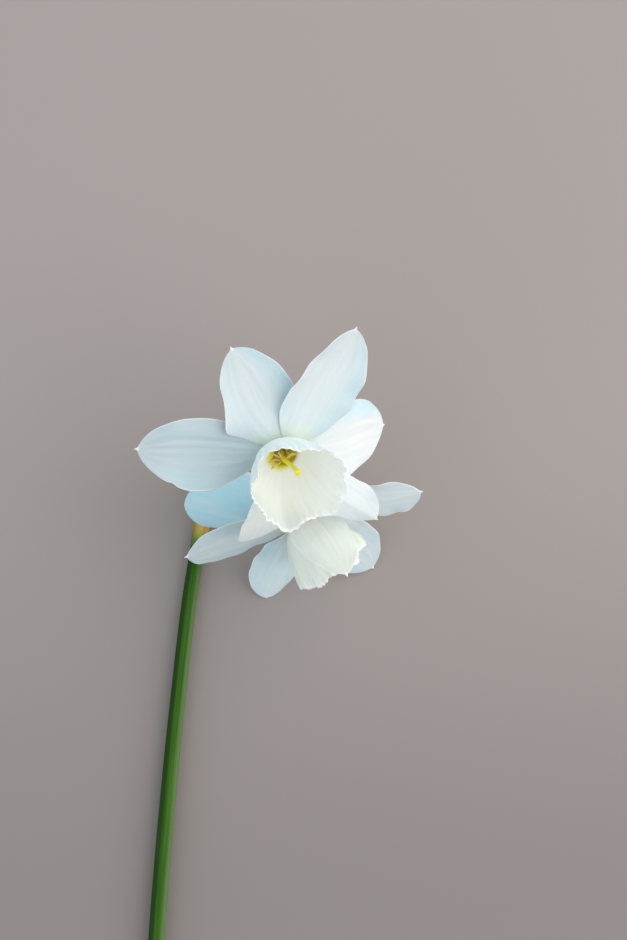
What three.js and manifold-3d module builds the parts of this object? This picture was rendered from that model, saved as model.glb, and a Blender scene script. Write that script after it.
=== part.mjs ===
// A narcissus as cut: one scape that carries a pair of nodding white blooms.
// It lies on a table. Millimetres, +Z up. The origin is on the table, under the middle of the part.
import * as THREE from "three";
import { mergeVertices } from "three/addons/utils/BufferGeometryUtils.js";
import Module from "manifold-3d";

const wasm = await Module();
wasm.setup();

// ---- driving dimensions ----

const GAP = 0.3; // between neighbouring pieces
const BLADE_THICKNESS = 0.65;
const DEGREE = Math.PI / 180;

// The scape lies along -Y. Its ends touch the table and its middle bows up a little.
const SCAPE_RADIUS = 2.15;
const SCAPE_HOLLOW_RADIUS = 1.1;
const SCAPE_HOLLOW_SHARE = 0.85; // of the scape's length, from the cut end
const SCAPE_SIDES = 12;
const SCAPE_STEPS = 22;
const SCAPE_ROUTE = [
  [-35.6, -134.0, 2.2],
  [-33.3, -80.0, 2.7],
  [-30.1, -24.0, 3.1],
  [-27.0, 14.2, 3.1],
  [-24.4, 40.3, 2.9],
  [-21.4, 66.4, 2.5],
  [-18.9, 82.0, 2.2],
];

// The papery sheath grows from the scape's top, round the stalks, and runs out into a tongue.
const SPATHE_LENGTH = 24;
const SPATHE_RADIUS = 1.95;
const SPATHE_FLARE = 0.9;
const SPATHE_RISE = 2.3;
const SPATHE_SPINE = -120 * DEGREE; // the side that the tongue grows on
const SPATHE_WRAP = 166 * DEGREE; // half the angle that its foot covers
const SPATHE_TIP_WRAP = 10 * DEGREE;
const SPATHE_THICKNESS = 0.6;
const SPATHE_OPEN_SHARE = 0.4; // of its length, where it has opened to the tongue

const STALK_RADIUS = 0.7;
const STALK_SIDES = 8;
const OVARY_LENGTH = 6.5;
const OVARY_RADIUS = 2.1;

// Radius and height above the throat, from the ovary to the rim that the tepals grow on.
const TUBE_OUTSIDE = [
  [1.5, -15.0],
  [1.9, -12.0],
  [2.4, -7.0],
  [3.3, -3.0],
  [4.6, -0.3],
];
const TUBE_WALL = 0.7;
const TUBE_FLOOR = -13.4;
const TUBE_SIDES = 18;
const TEPAL_ROOT_RADIUS = 4.1;
const TEPAL_ROOT_WIDTH = 4.6;
const TEPAL_ROWS = 10;
const TEPAL_COLUMNS = 6;
const TEPAL_TIP_WIDTH = 0.7; // the small point at each tepal's end

// Radius and height above the throat of the cup's outer side, before its pleats.
const CUP_OUTSIDE = [
  [3.3, -0.7],
  [3.35, 0.9],
  [5.2, 1.5],
  [7.5, 2.6],
  [8.9, 4.8],
  [9.7, 7.8],
  [10.4, 11.4],
  [11.3, 15.2],
];
const CUP_NOD_HEIGHT = 12.0; // over which a cup's axis turns away from its tepals' axis
const CUP_WALL = 0.62;
const CUP_AROUND = 48;
const CUP_PLEATS = 12;
const CUP_LOBES = 6;
const CUP_PLEAT_DEPTH = 0.45;
const CUP_LOBE_DEPTH = 0.45;
const CUP_FRILL = 0.5;

const RING_RADIUS = 1.8;
const RING_HEIGHT = -5.0;
const RING_WALL = 0.55;
const RING_DEPTH = 0.8;
const FILAMENTS = 6; // every other one is longer
const FILAMENT_RADIUS = 0.32;
const FILAMENT_TOP = 1.6;
const FILAMENT_EXTRA = 0.9;
const ANTHER_LENGTH = 3.8;
const ANTHER_RADIUS = 0.5;
const ANTHER_LEAN = 46 * DEGREE;
const STYLE_RADIUS = 0.5;
const STYLE_TOP = 10.0;
const STIGMA_SWELL = 1.5; // its width over the style's

// Each tepal's place round the axis, its rise over the throat's plane, the curl of its length, the
// bend to one side and the twist, in degrees; its length from the axis and its width; how pointed
// its tip is, from 0.45 (round) to 0.75 (sharp); how deep its width is cupped; how slowly it fills
// out from its root, from 0.55 to 0.75; and its root's height.
const tepal = (around, rise, curl, bend, twist, long, wide, point, cup, full, root) => ({
  around,
  rise,
  curl,
  bend,
  twist,
  long,
  wide,
  point,
  cup,
  full,
  root,
});

// A bloom: its throat and axis; its cup's axis, its size beside a full cup's, and how far the
// middle of its wall stands to one side; the swells of its rim, each with its place round the
// axis in degrees, its height and its spread in degrees; its tepals and its stalk's route.
const FRONT = {
  throat: [4.0, 104.2, 61.8],
  axis: [0.227, -0.522, 0.822],
  cupAxis: [0.227, -0.522, 0.822],
  cupScale: 1.0,
  cupBelly: [-0.6, 0.2],
  rim: [
    [15, 0.9, 12],
    [32, 0.5, 8],
    [60, -1.5, 14],
    [104, 1.6, 15],
    [165, 0.7, 9],
    [181, -1.9, 9],
    [228, 1.1, 13],
    [268, -0.9, 9],
    [288, 0.9, 9],
    [325, 1.0, 20],
  ],
  tepals: [
    tepal(147, 6, -3, 3, 9, 36.6, 18.6, 0.64, 0.26, 0.64, -0.4),
    tepal(91, 2, -1, 3, 8, 33.3, 17.8, 0.66, 0.22, 0.59, 0.1),
    tepal(43, 3, -1, 0.6, 23, 37.0, 18.6, 0.63, 0.22, 0.64, 0.5),
    tepal(327, -37, 1, 1, -13, 35.3, 19.8, 0.58, 0.08, 0.68, -0.35),
    tepal(291, -8, -3, 7, 13, 35.2, 13.8, 0.6, 0.16, 0.72, 0.35),
    tepal(247, -19, -6, -28, -41, 33.6, 14.6, 0.4, 0.18, 0.72, -0.35),
  ],
  stalk: [
    [-19.6, 82.7, 2.25],
    [-18.6, 89.5, 4.2],
    [-15.4, 102.0, 11.0],
    [-9.9, 113.0, 21.0],
    [-5.2, 118.8, 31.9],
  ],
};

const BACK = {
  throat: [8.5, 87.8, 25.65],
  axis: [0.412, -0.848, 0.332],
  cupAxis: [0.53, -0.76, -0.25],
  cupScale: 0.92,
  cupBelly: [0, 0],
  rim: [
    [75, 1.0, 25],
    [122, -0.9, 10],
    [178, -1.4, 20],
    [2, -0.7, 10],
    [335, 1.6, 16],
  ],
  tepals: [
    tepal(194, -51, 15, -6, 50, 33.8, 20.0, 0.5, -0.3, 0.56, -0.35),
    tepal(161, -7, 7, 0, 14, 31.8, 17.3, 0.62, 0.0, 0.64, 0.35),
    tepal(79, 46, 26, 0, -12, 33.8, 14.6, 0.66, 0.12, 0.62, -0.1),
    tepal(18, 20, 2, -1, -27, 32.3, 17.6, 0.66, 0.12, 0.66, 0.35),
    tepal(290, 19, 5, -2, -13, 33.9, 17.2, 0.6, 0.03, 0.67, -0.35),
    tepal(240, 4, 11, -5, 17, 34.3, 14.9, 0.5, -0.08, 0.58, 0.35),
  ],
  stalk: [
    [-18.0, 82.7, 2.3],
    [-16.6, 89.5, 4.3],
    [-13.0, 100.0, 9.6],
    [-7.4, 107.8, 12.6],
    [-3.6, 110.2, 15.2],
  ],
};

const COLOURS = {
  tepal: { color: 0xe6eef1, roughness: 0.55 },
  cup: { color: 0xf0f0dc, roughness: 0.55 },
  stamen: { color: 0xc98a2e, roughness: 0.7 },
  pistil: { color: 0xd8c62e, roughness: 0.5 },
  stalk: { color: 0x5f8a45, roughness: 0.45 },
  scape: { color: 0x2f5f22, roughness: 0.4 },
  spathe: { color: 0xa8823a, roughness: 0.7 },
};

// ---- tools ----

const vector = (list) => new THREE.Vector3(...list);

function solidOf(geometry) {
  const plain = geometry.clone();
  plain.deleteAttribute("normal");
  plain.deleteAttribute("uv");
  const merged = mergeVertices(plain, 1e-4);
  return new wasm.Manifold(
    new wasm.Mesh({
      numProp: 3,
      vertProperties: new Float32Array(merged.attributes.position.array),
      triVerts: new Uint32Array(merged.index.array),
    }),
  );
}

function geometryOf(solid) {
  const mesh = solid.getMesh();
  const geometry = new THREE.BufferGeometry();
  geometry.setAttribute("position", new THREE.BufferAttribute(mesh.vertProperties, 3));
  geometry.setIndex(new THREE.BufferAttribute(mesh.triVerts, 1));
  geometry.computeVertexNormals();
  return geometry;
}

function joined(geometries) {
  return geometryOf(geometries.map(solidOf).reduce((sum, next) => sum.add(next)));
}

function polygon(radius, sides) {
  const points = [];
  for (let i = 0; i < sides; i++) {
    const angle = (i / sides) * 2 * Math.PI;
    points.push(new THREE.Vector2(radius * Math.cos(angle), radius * Math.sin(angle)));
  }
  return new THREE.Shape(points);
}

function rod(path, radius, sides, steps) {
  return new THREE.ExtrudeGeometry(polygon(radius, sides), {
    steps,
    bevelEnabled: false,
    extrudePath: path,
  });
}

// A closed lathe round +Z from a profile of [radius, height] pairs.
function turned(profile, sides) {
  const points = profile.map(([radius, height]) => new THREE.Vector2(radius, height));
  return new THREE.LatheGeometry(points, sides).rotateX(Math.PI / 2);
}

// A closed sheet: both faces of the surface point(s, t), split alike, and its rim.
// A sheet that is closed round (t = 0 meets t = 1) has only its two end rims.
function sheet(point, rows, columns, thickness, round = false) {
  const step = 1e-3;
  const across = round ? columns : columns + 1;
  const layer = (rows + 1) * across;
  const positions = [];
  for (const side of [0.5, -0.5]) {
    for (let i = 0; i <= rows; i++) {
      for (let j = 0; j < across; j++) {
        const s = i / rows;
        const t = j / columns;
        const along = point(Math.min(s + step, 1), t).sub(point(Math.max(s - step, 0), t));
        const over = round
          ? point(s, t + step).sub(point(s, t - step))
          : point(s, Math.min(t + step, 1)).sub(point(s, Math.max(t - step, 0)));
        const normal = along.cross(over).normalize();
        const placed = point(s, t).addScaledVector(normal, side * thickness);
        positions.push(placed.x, placed.y, placed.z);
      }
    }
  }
  const at = (side, i, j) => side * layer + i * across + (round ? j % columns : j);
  const faces = [];
  const quad = (a, b, c, d) => faces.push(a, b, c, a, c, d);
  for (let i = 0; i < rows; i++) {
    for (let j = 0; j < columns; j++) {
      quad(at(0, i, j), at(0, i + 1, j), at(0, i + 1, j + 1), at(0, i, j + 1));
      faces.push(at(1, i, j), at(1, i + 1, j + 1), at(1, i + 1, j));
      faces.push(at(1, i, j), at(1, i, j + 1), at(1, i + 1, j + 1));
    }
  }
  for (let j = 0; j < columns; j++) {
    quad(at(0, 0, j), at(0, 0, j + 1), at(1, 0, j + 1), at(1, 0, j));
    quad(at(0, rows, j + 1), at(0, rows, j), at(1, rows, j), at(1, rows, j + 1));
  }
  if (!round) {
    for (let i = 0; i < rows; i++) {
      quad(at(0, i + 1, 0), at(0, i, 0), at(1, i, 0), at(1, i + 1, 0));
      quad(at(0, i, columns), at(0, i + 1, columns), at(1, i + 1, columns), at(1, i, columns));
    }
  }
  const geometry = new THREE.BufferGeometry();
  geometry.setAttribute("position", new THREE.Float32BufferAttribute(positions, 3));
  geometry.setIndex(faces);
  return geometry;
}

// A bloom's own directions: its axis, and two directions across it.
function directions(axisList) {
  const axis = vector(axisList).normalize();
  const heading = Math.atan2(axis.y, axis.x);
  const first = new THREE.Vector3(-Math.sin(heading), Math.cos(heading), 0);
  const second = axis.clone().cross(first);
  return { axis, first, second };
}

// The matrix that carries a piece made round +Z, with the throat at its origin, to its bloom.
function placeOf(axisList, throatList) {
  const { axis, first, second } = directions(axisList);
  return new THREE.Matrix4().makeBasis(first, second, axis).setPosition(vector(throatList));
}

// Carries a piece made round +Z to its bloom. What stands above the throat is bent over first,
// little by little, until it points along the cup's axis.
function nodded(geometry, bloom) {
  const { axis, first, second } = directions(bloom.axis);
  const cup = vector(bloom.cupAxis).normalize();
  const turn = axis.angleTo(cup);
  const side = new THREE.Vector2(cup.dot(first), cup.dot(second)).normalize();
  const angleAt = (height) => turn * THREE.MathUtils.smoothstep(height, 0, CUP_NOD_HEIGHT);
  const steps = 40;
  const places = geometry.attributes.position;
  for (let i = 0; i < places.count; i++) {
    const height = places.getZ(i);
    let over = 0;
    let up = height;
    if (height > 0) {
      up = 0;
      for (let k = 0; k < steps; k++) {
        const angle = angleAt(((k + 0.5) / steps) * height);
        over += (Math.sin(angle) * height) / steps;
        up += (Math.cos(angle) * height) / steps;
      }
    }
    const angle = angleAt(height);
    const aside = places.getX(i) * side.x + places.getY(i) * side.y;
    const moved = over + aside * (Math.cos(angle) - 1);
    places.setX(i, places.getX(i) + side.x * moved);
    places.setY(i, places.getY(i) + side.y * moved);
    places.setZ(i, up - aside * Math.sin(angle));
  }
  return geometry.applyMatrix4(placeOf(bloom.axis, bloom.throat));
}

// ---- scape, sheath and stalks ----

const scapePath = new THREE.CatmullRomCurve3(SCAPE_ROUTE.map(vector), false, "centripetal");

function scape() {
  const whole = solidOf(rod(scapePath, SCAPE_RADIUS, SCAPE_SIDES, SCAPE_STEPS));
  const bore = [scapePath.getPointAt(0).addScaledVector(scapePath.getTangentAt(0), -1)];
  for (let i = 0; i <= 8; i++) {
    bore.push(scapePath.getPointAt((SCAPE_HOLLOW_SHARE * i) / 8));
  }
  const hollow = solidOf(
    rod(new THREE.CatmullRomCurve3(bore), SCAPE_HOLLOW_RADIUS, 8, 14),
  );
  return geometryOf(whole.subtract(hollow));
}

function spathe() {
  const top = scapePath.getPointAt(1);
  const ahead = scapePath.getTangentAt(1).setZ(0).normalize();
  const aside = new THREE.Vector3(ahead.y, -ahead.x, 0);
  const foot = top.addScaledVector(ahead, GAP);
  const point = (s, t) => {
    const opened = THREE.MathUtils.smoothstep(s, 0, SPATHE_OPEN_SHARE);
    const flared = THREE.MathUtils.smoothstep(s, 0, SPATHE_OPEN_SHARE / 2);
    const wrap = SPATHE_WRAP * (1 - opened) ** 0.8 + SPATHE_TIP_WRAP * opened;
    const angle = SPATHE_SPINE + (2 * t - 1) * wrap;
    const radius = SPATHE_RADIUS + SPATHE_FLARE * flared;
    const across = radius * Math.cos(angle);
    const up = radius * Math.sin(angle) + SPATHE_RISE * opened;
    return foot
      .clone()
      .addScaledVector(ahead, SPATHE_LENGTH * s)
      .addScaledVector(aside, across)
      .add(new THREE.Vector3(0, 0, up));
  };
  return sheet(point, 9, 10, SPATHE_THICKNESS);
}

function stalk(bloom) {
  const { axis } = directions(bloom.axis);
  const throat = vector(bloom.throat);
  const ovaryTop = TUBE_OUTSIDE[0][1] - GAP;
  const ovaryFoot = throat.clone().addScaledVector(axis, ovaryTop - OVARY_LENGTH);
  const route = bloom.stalk.map(vector);
  route.push(ovaryFoot.clone().addScaledVector(axis, -3));
  route.push(ovaryFoot.clone().addScaledVector(axis, 1.5));
  const path = new THREE.CatmullRomCurve3(route, false, "centripetal");
  const stem = rod(path, STALK_RADIUS, STALK_SIDES, 20);
  const profile = [[0, -OVARY_LENGTH]];
  for (let i = 1; i <= 6; i++) {
    const share = i / 6;
    const swell = Math.sin(Math.PI * (0.08 + 0.78 * share));
    profile.push([OVARY_RADIUS * swell, -OVARY_LENGTH * (1 - share)]);
  }
  profile.push([0, 0]);
  const ovary = turned(profile, 10);
  ovary.applyMatrix4(placeOf(bloom.axis, throat.addScaledVector(axis, ovaryTop).toArray()));
  return joined([stem, ovary]);
}

// ---- blooms ----

// Half the width of a tepal at share s of its length: a narrow root, a full middle and a point.
function halfWidth(s, shape) {
  const widest = shape.full / (shape.full + shape.point);
  const outline = (x) => x ** shape.full * (1 - x) ** shape.point;
  const leaf = (shape.wide / 2) * (outline(s) / outline(widest));
  const foot = (TEPAL_ROOT_WIDTH / 2) * (1 - s) ** 3;
  return Math.max(Math.hypot(leaf, foot), TEPAL_TIP_WIDTH / 2);
}

function tepalBlade(bloom, shape) {
  const { axis, first, second } = directions(bloom.axis);
  const around = shape.around * DEGREE;
  const outward = first
    .clone()
    .multiplyScalar(Math.cos(around))
    .addScaledVector(second, Math.sin(around));
  const sideways = axis.clone().cross(outward);
  const steps = 120;
  const heading = (s) => {
    const rise = (shape.rise * (1 - Math.exp(-s / 0.06)) + shape.curl * s) * DEGREE;
    const bend = shape.bend * s * DEGREE;
    return outward
      .clone()
      .multiplyScalar(Math.cos(rise) * Math.cos(bend))
      .addScaledVector(sideways, Math.cos(rise) * Math.sin(bend))
      .addScaledVector(axis, Math.sin(rise));
  };
  const midrib = [
    vector(bloom.throat)
      .addScaledVector(outward, TEPAL_ROOT_RADIUS)
      .addScaledVector(axis, shape.root),
  ];
  for (let i = 0; i < steps; i++) {
    const stride = (shape.long - TEPAL_ROOT_RADIUS) / steps;
    midrib.push(midrib[i].clone().addScaledVector(heading((i + 0.5) / steps), stride));
  }
  const point = (s, t) => {
    const place = Math.min(s * steps, steps - 1e-6);
    const whole = Math.floor(place);
    const centre = midrib[whole].clone().lerp(midrib[whole + 1], place - whole);
    const bend = shape.bend * s * DEGREE;
    const ahead = heading(s);
    const flat = outward
      .clone()
      .multiplyScalar(-Math.sin(bend))
      .addScaledVector(sideways, Math.cos(bend));
    const raised = ahead.clone().cross(flat);
    const twist = shape.twist * s * DEGREE;
    const across = flat
      .clone()
      .multiplyScalar(Math.cos(twist))
      .addScaledVector(raised, Math.sin(twist));
    const face = ahead.clone().cross(across);
    const x = (2 * t - 1) * halfWidth(s, shape);
    const hollow = ((shape.cup * x * x) / (shape.wide / 2)) * Math.min(1, 2.5 * s);
    return centre.addScaledVector(across, x).addScaledVector(face, hollow);
  };
  return sheet(point, TEPAL_ROWS, TEPAL_COLUMNS, BLADE_THICKNESS);
}

function perianth(bloom) {
  const inside = TUBE_OUTSIDE.filter(([, height]) => height > TUBE_FLOOR)
    .map(([radius, height]) => [radius - TUBE_WALL, height])
    .reverse();
  const profile = [
    [0, TUBE_OUTSIDE[0][1]],
    ...TUBE_OUTSIDE,
    [TEPAL_ROOT_RADIUS + 0.5, 0.3],
    [TEPAL_ROOT_RADIUS - 0.2, 0.3],
    ...inside,
    [inside.at(-1)[0] - 0.2, TUBE_FLOOR],
    [0, TUBE_FLOOR],
  ];
  const tube = turned(profile, TUBE_SIDES).applyMatrix4(placeOf(bloom.axis, bloom.throat));
  return joined([tube, ...bloom.tepals.map((shape) => tepalBlade(bloom, shape))]);
}

function corona(bloom) {
  const rows = CUP_OUTSIDE.length - 1;
  const point = (s, t) => {
    const place = Math.min(s * rows, rows - 1e-6);
    const low = Math.floor(place);
    const share = place - low;
    const mix = (k) => CUP_OUTSIDE[low][k] * (1 - share) + CUP_OUTSIDE[low + 1][k] * share;
    const angle = 2 * Math.PI * t;
    const open = THREE.MathUtils.smoothstep(s, 0.3, 1);
    const pleat = CUP_PLEAT_DEPTH * Math.cos(CUP_PLEATS * angle);
    const lobe = CUP_LOBE_DEPTH * Math.cos(CUP_LOBES * angle);
    const swell = bloom.rim.reduce((sum, [at, high, span]) => {
      const apart = THREE.MathUtils.euclideanModulo(angle / DEGREE - at + 180, 360) - 180;
      return sum + high * Math.exp(-((apart / span) ** 2));
    }, 0);
    const spread = open * bloom.cupScale * (pleat + lobe) - CUP_WALL / 2 + swell * s ** 2;
    const wide = mix(0) > CUP_OUTSIDE[1][0] ? bloom.cupScale : 1;
    const radius = Math.max(mix(0) * wide, CUP_OUTSIDE[0][0]) + spread;
    const frill = CUP_FRILL * s ** 6 * Math.sin(CUP_LOBES * angle + 1);
    const height = mix(1) * (mix(1) > 0 ? bloom.cupScale : 1);
    const belly = Math.sin(Math.PI * THREE.MathUtils.smoothstep(s, 0.1, 1));
    return new THREE.Vector3(
      radius * Math.cos(angle) + belly * bloom.cupBelly[0],
      radius * Math.sin(angle) + belly * bloom.cupBelly[1],
      height + frill,
    );
  };
  return nodded(sheet((s, t) => point(s, -t), rows, CUP_AROUND, CUP_WALL, true), bloom);
}

// The filaments stand on a ring inside the tube, each ending in an anther.
function stamens(bloom) {
  const inner = RING_RADIUS - RING_WALL;
  const ringTop = RING_HEIGHT + RING_DEPTH;
  const ring = turned(
    [
      [inner, RING_HEIGHT],
      [RING_RADIUS, RING_HEIGHT],
      [RING_RADIUS, ringTop],
      [inner, ringTop],
      [inner, RING_HEIGHT],
    ],
    8,
  );
  const pieces = [ring];
  for (let i = 0; i < FILAMENTS; i++) {
    const top = FILAMENT_TOP + (i % 2 === 0 ? FILAMENT_EXTRA : 0);
    const tip = new THREE.Vector3(2.1 * bloom.cupScale - 0.2, 0, top);
    const path = new THREE.CatmullRomCurve3([
      new THREE.Vector3(RING_RADIUS - RING_WALL / 2, 0, RING_HEIGHT + RING_DEPTH / 2),
      new THREE.Vector3(1.5, 0, -1.5),
      new THREE.Vector3(1.6, 0, 0.4),
      tip,
    ]);
    const filament = rod(path, FILAMENT_RADIUS, 4, 4);
    const anther = new THREE.SphereGeometry(1, 5, 4)
      .rotateX(Math.PI / 2)
      .scale(ANTHER_RADIUS, ANTHER_RADIUS, ANTHER_LENGTH / 2)
      .rotateY(ANTHER_LEAN * bloom.cupScale);
    anther.translate(tip.x + 0.6 * bloom.cupScale, 0, top + 0.4);
    for (const piece of [filament, anther]) {
      pieces.push(piece.rotateZ((i / FILAMENTS) * 2 * Math.PI + 20 * DEGREE));
    }
  }
  return nodded(joined(pieces), bloom);
}

function pistil(bloom) {
  const floor = TUBE_FLOOR + GAP;
  const profile = [
    [0, floor],
    [STYLE_RADIUS * 0.8, floor],
  ];
  for (let height = -2; height < STYLE_TOP - 1.5; height += 2) {
    profile.push([STYLE_RADIUS, height]);
  }
  profile.push([STYLE_RADIUS * STIGMA_SWELL, STYLE_TOP - 0.7]);
  profile.push([STYLE_RADIUS * 1.1, STYLE_TOP]);
  profile.push([0, STYLE_TOP]);
  return nodded(turned(profile, 9), bloom);
}

// ---- the part ----

const group = new THREE.Group();
group.name = "narcissus";

function add(name, geometry, look) {
  const material = new THREE.MeshStandardMaterial({ ...look, metalness: 0 });
  const mesh = new THREE.Mesh(geometry, material);
  mesh.name = name;
  group.add(mesh);
}

add("scape", scape(), COLOURS.scape);
add("spathe", spathe(), COLOURS.spathe);
for (const [side, bloom] of [
  ["front", FRONT],
  ["back", BACK],
]) {
  add(`pedicel_${side}`, stalk(bloom), COLOURS.stalk);
  add(`perianth_${side}`, perianth(bloom), COLOURS.tepal);
  add(`corona_${side}`, corona(bloom), COLOURS.cup);
  add(`stamens_${side}`, stamens(bloom), COLOURS.stamen);
  add(`pistil_${side}`, pistil(bloom), COLOURS.pistil);
}

export default group;
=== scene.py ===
"""A cut narcissus: one scape with a pair of nodding white blooms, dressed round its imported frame."""

import math
import random
from collections import namedtuple
from types import SimpleNamespace

import bmesh
import bpy
import numpy as np
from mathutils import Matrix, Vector


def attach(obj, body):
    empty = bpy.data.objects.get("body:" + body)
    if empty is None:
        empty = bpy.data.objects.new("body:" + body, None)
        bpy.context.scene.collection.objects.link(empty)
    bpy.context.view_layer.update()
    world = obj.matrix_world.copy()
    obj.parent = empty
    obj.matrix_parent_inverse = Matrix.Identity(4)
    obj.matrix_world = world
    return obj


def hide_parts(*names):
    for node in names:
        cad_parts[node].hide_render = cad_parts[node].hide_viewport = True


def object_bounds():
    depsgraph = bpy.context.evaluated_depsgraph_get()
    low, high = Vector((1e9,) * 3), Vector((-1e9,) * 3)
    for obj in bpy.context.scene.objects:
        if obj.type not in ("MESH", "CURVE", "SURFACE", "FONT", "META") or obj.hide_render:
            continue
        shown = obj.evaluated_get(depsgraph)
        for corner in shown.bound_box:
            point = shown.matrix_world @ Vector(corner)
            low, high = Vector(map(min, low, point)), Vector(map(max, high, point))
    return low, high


bl_info = {
    "name": "Narcissus Stem",
    "version": (1, 0, 0),
    "blender": (4, 5, 0),
    "location": "3D View > Sidebar > Narcissus",
    "description": "Grows a cut narcissus with a pair of nodding white blooms",
    "category": "Add Mesh",
}

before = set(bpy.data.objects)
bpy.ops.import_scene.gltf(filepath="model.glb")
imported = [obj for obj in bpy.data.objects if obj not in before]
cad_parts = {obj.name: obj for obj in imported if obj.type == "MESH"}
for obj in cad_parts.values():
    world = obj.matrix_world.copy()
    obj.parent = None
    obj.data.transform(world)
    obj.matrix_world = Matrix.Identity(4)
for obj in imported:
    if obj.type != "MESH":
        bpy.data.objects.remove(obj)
CAD_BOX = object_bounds()

MM = 0.001
BODY = "root"

# ---- the studio: places in millimetres, and the directions of the lights from the blooms ----

CAMERA_AIM = (11.0, 100.3, 59.8)
CLIP_START = 10.0
CLIP_END = 20000.0
SENSOR_WIDTH = 36.0
LIGHT_DISTANCE = 900.0
KEY_TINT = (1.0, 0.97, 0.92)
KEY_TOWARD = (0.74, 0.22, 0.62)
SIDE_TINT = (0.72, 0.9, 1.0)
SIDE_TOWARD = (-0.78, -0.3, 0.55)
FLOOR_REACH = 4000.0
FLOOR_CORNERS = 96
FLOOR_GRAIN = 0.9  # the share of the floor's tone that its darker grains keep
# Painted shade: the floor's tone darkens towards the stem's cut end.
FLOOR_SHADED_SHARE = 0.73  # and the share that it keeps towards the stem's cut end
FLOOR_SHADE_RUN = (130.0, -20.0)  # along the stem, from the full tone to the far one

# ---- how finely each organ is made: points along it and round it, or across it ----

SCAPE_MESH = (180, 72)
SHEATH_MESH = (70, 61)
STALK_MESH = (90, 24)
OVARY_MESH = (40, 48)
TEPAL_MESH = (96, 49)
TUBE_SIDES = 60
CUP_MESH = (64, 400)
RING_SIDES = 32
FILAMENT_MESH = (24, 12)
ANTHER_MESH = (22, 24)
STYLE_MESH = (60, 42)

# The seeds of each organ's small irregularities.
SHEATH_SEED = 7
CUP_SEEDS = {"front": 3, "back": 5}
STAMEN_SEED = 11

# ---- the plant's growth: where each organ sits, in millimetres ----

SCAPE_ROUTE = [
    (-35.6, -134.0, 2.2),
    (-33.3, -80.0, 2.7),
    (-30.1, -24.0, 3.1),
    (-27.0, 14.2, 3.1),
    (-24.4, 40.3, 2.9),
    (-21.4, 66.4, 2.5),
    (-18.9, 82.0, 2.2),
]
HOLLOW_SHARE = 0.85  # of the scape's length, from its cut end
SCAPE_EDGE = math.radians(110)  # the scape is a little two-edged, as a narcissus's is
SCAPE_EDGE_HEIGHT = 0.05
SCAPE_EDGE_SPREAD = 0.2
SCAPE_RIBS = 16
SCAPE_RIB_HEIGHT = 0.004
SCAPE_TAPER = 0.1
SCAPE_ROUNDING = 0.004  # the share of its length over which its top is rounded off
STALK_FLARE = 0.25  # how much wider a stalk gets towards its ovary
SCAPE_RUN = 220.0  # its length, to the nearest few millimetres, for the grain of its skin

SPATHE_LENGTH = 24.0
SPATHE_RADIUS = 1.95
SPATHE_FLARE = 0.45
SPATHE_RISE = 2.3
SPATHE_SPINE = math.radians(-120)
SPATHE_WRAP = math.radians(179.5)
SPATHE_TIP_WRAP = math.radians(34)
SPATHE_SHUT_SHARE = 0.28
SPATHE_OPEN_SHARE = 0.52
SPATHE_LAP = 1.6  # how far its foot reaches down over the scape's top

# Radius and height above the throat, from the ovary to the rim that the tepals grow on.
TUBE_OUTSIDE = [(1.5, -15.0), (1.9, -12.0), (2.4, -7.0), (3.3, -3.0), (4.6, -0.3)]
TUBE_INSIDE = [
    (3.9, 0.5),
    (3.0, -0.5),
    (2.4, -1.4),
    (2.05, -3.0),
    (1.9, -5.5),
    (1.6, -8.0),
    (1.1, -12.0),
    (0.9, -13.4),
]
TUBE_FLOOR = -13.4
ROOT_RADIUS = 4.1
RISE_SHARE = 0.06  # of a tepal's length, in which it turns from its root to its rise
MIDRIB_STEPS = 240
TIP_SHARE = 0.06  # of a tepal's length, by which its midrib is carried on for its point
GRAIN_STEP = 7.3  # sets each tepal's grain apart from its neighbours'
ROOT_WIDTH = 5.8
OVARY_GAP = 0.3
MUCRO_LENGTH = 1.0  # the small point at each tepal's end
MUCRO_WIDTH = 0.8

# Radius and height above the throat of the cup's outer side, before its pleats.
CUP_OUTSIDE = [
    (3.3, -0.7),
    (3.35, 0.9),
    (4.9, 1.5),
    (6.5, 2.9),
    (7.9, 5.0),
    (9.2, 8.0),
    (10.4, 11.4),
    (11.3, 15.2),
]
CUP_NOD_HEIGHT = 12.0  # over which a cup's axis turns away from its tepals' axis
NOD_REACH = 24.0  # how far above the throat the bend is worked out
NOD_STEPS = 480
CUP_PLEATS = 12
CUP_LOBES = 6
CUP_THROAT_TURN = math.radians(155)  # the side on which the throat's yellow reaches higher
# Painted shade greys the side of a cup's inside where the key light falls most.
CUP_SHADE_TURN = math.radians(205)  # the side on which a cup's inside is a little greyer
CUP_SHADE_SHARE = 0.75
CUP_GRAIN_GIRTH = 8.0  # the cup's radius for the grain of its skin

RING_RADIUS = 1.8
RING_WALL = 0.55
RING_HEIGHT = -5.0
RING_DEPTH = 0.8
FILAMENT_HEIGHTS = (2.5, 1.6)  # of every other filament's top, by turns
ANTHER_BOW = np.array((0.55, 0, 0))
ANTHER_TILT = math.radians(72)
ANTHER_GROOVE = 0.22
STYLE_TOP = 10.0
STYLE_LEAN = 2.0
# The stigma's radius, as a share of the style's, and how far below the style's top.
STIGMA = [(1.35, 0.85), (1.5, 0.55), (1.45, 0.25), (1.15, 0.05), (0.3, 0.12)]
SWAY = 0.8
STAMEN_PLACES = (22, 4, 184, 160, 96, 122)  # in degrees round the style, in loose pairs
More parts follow.
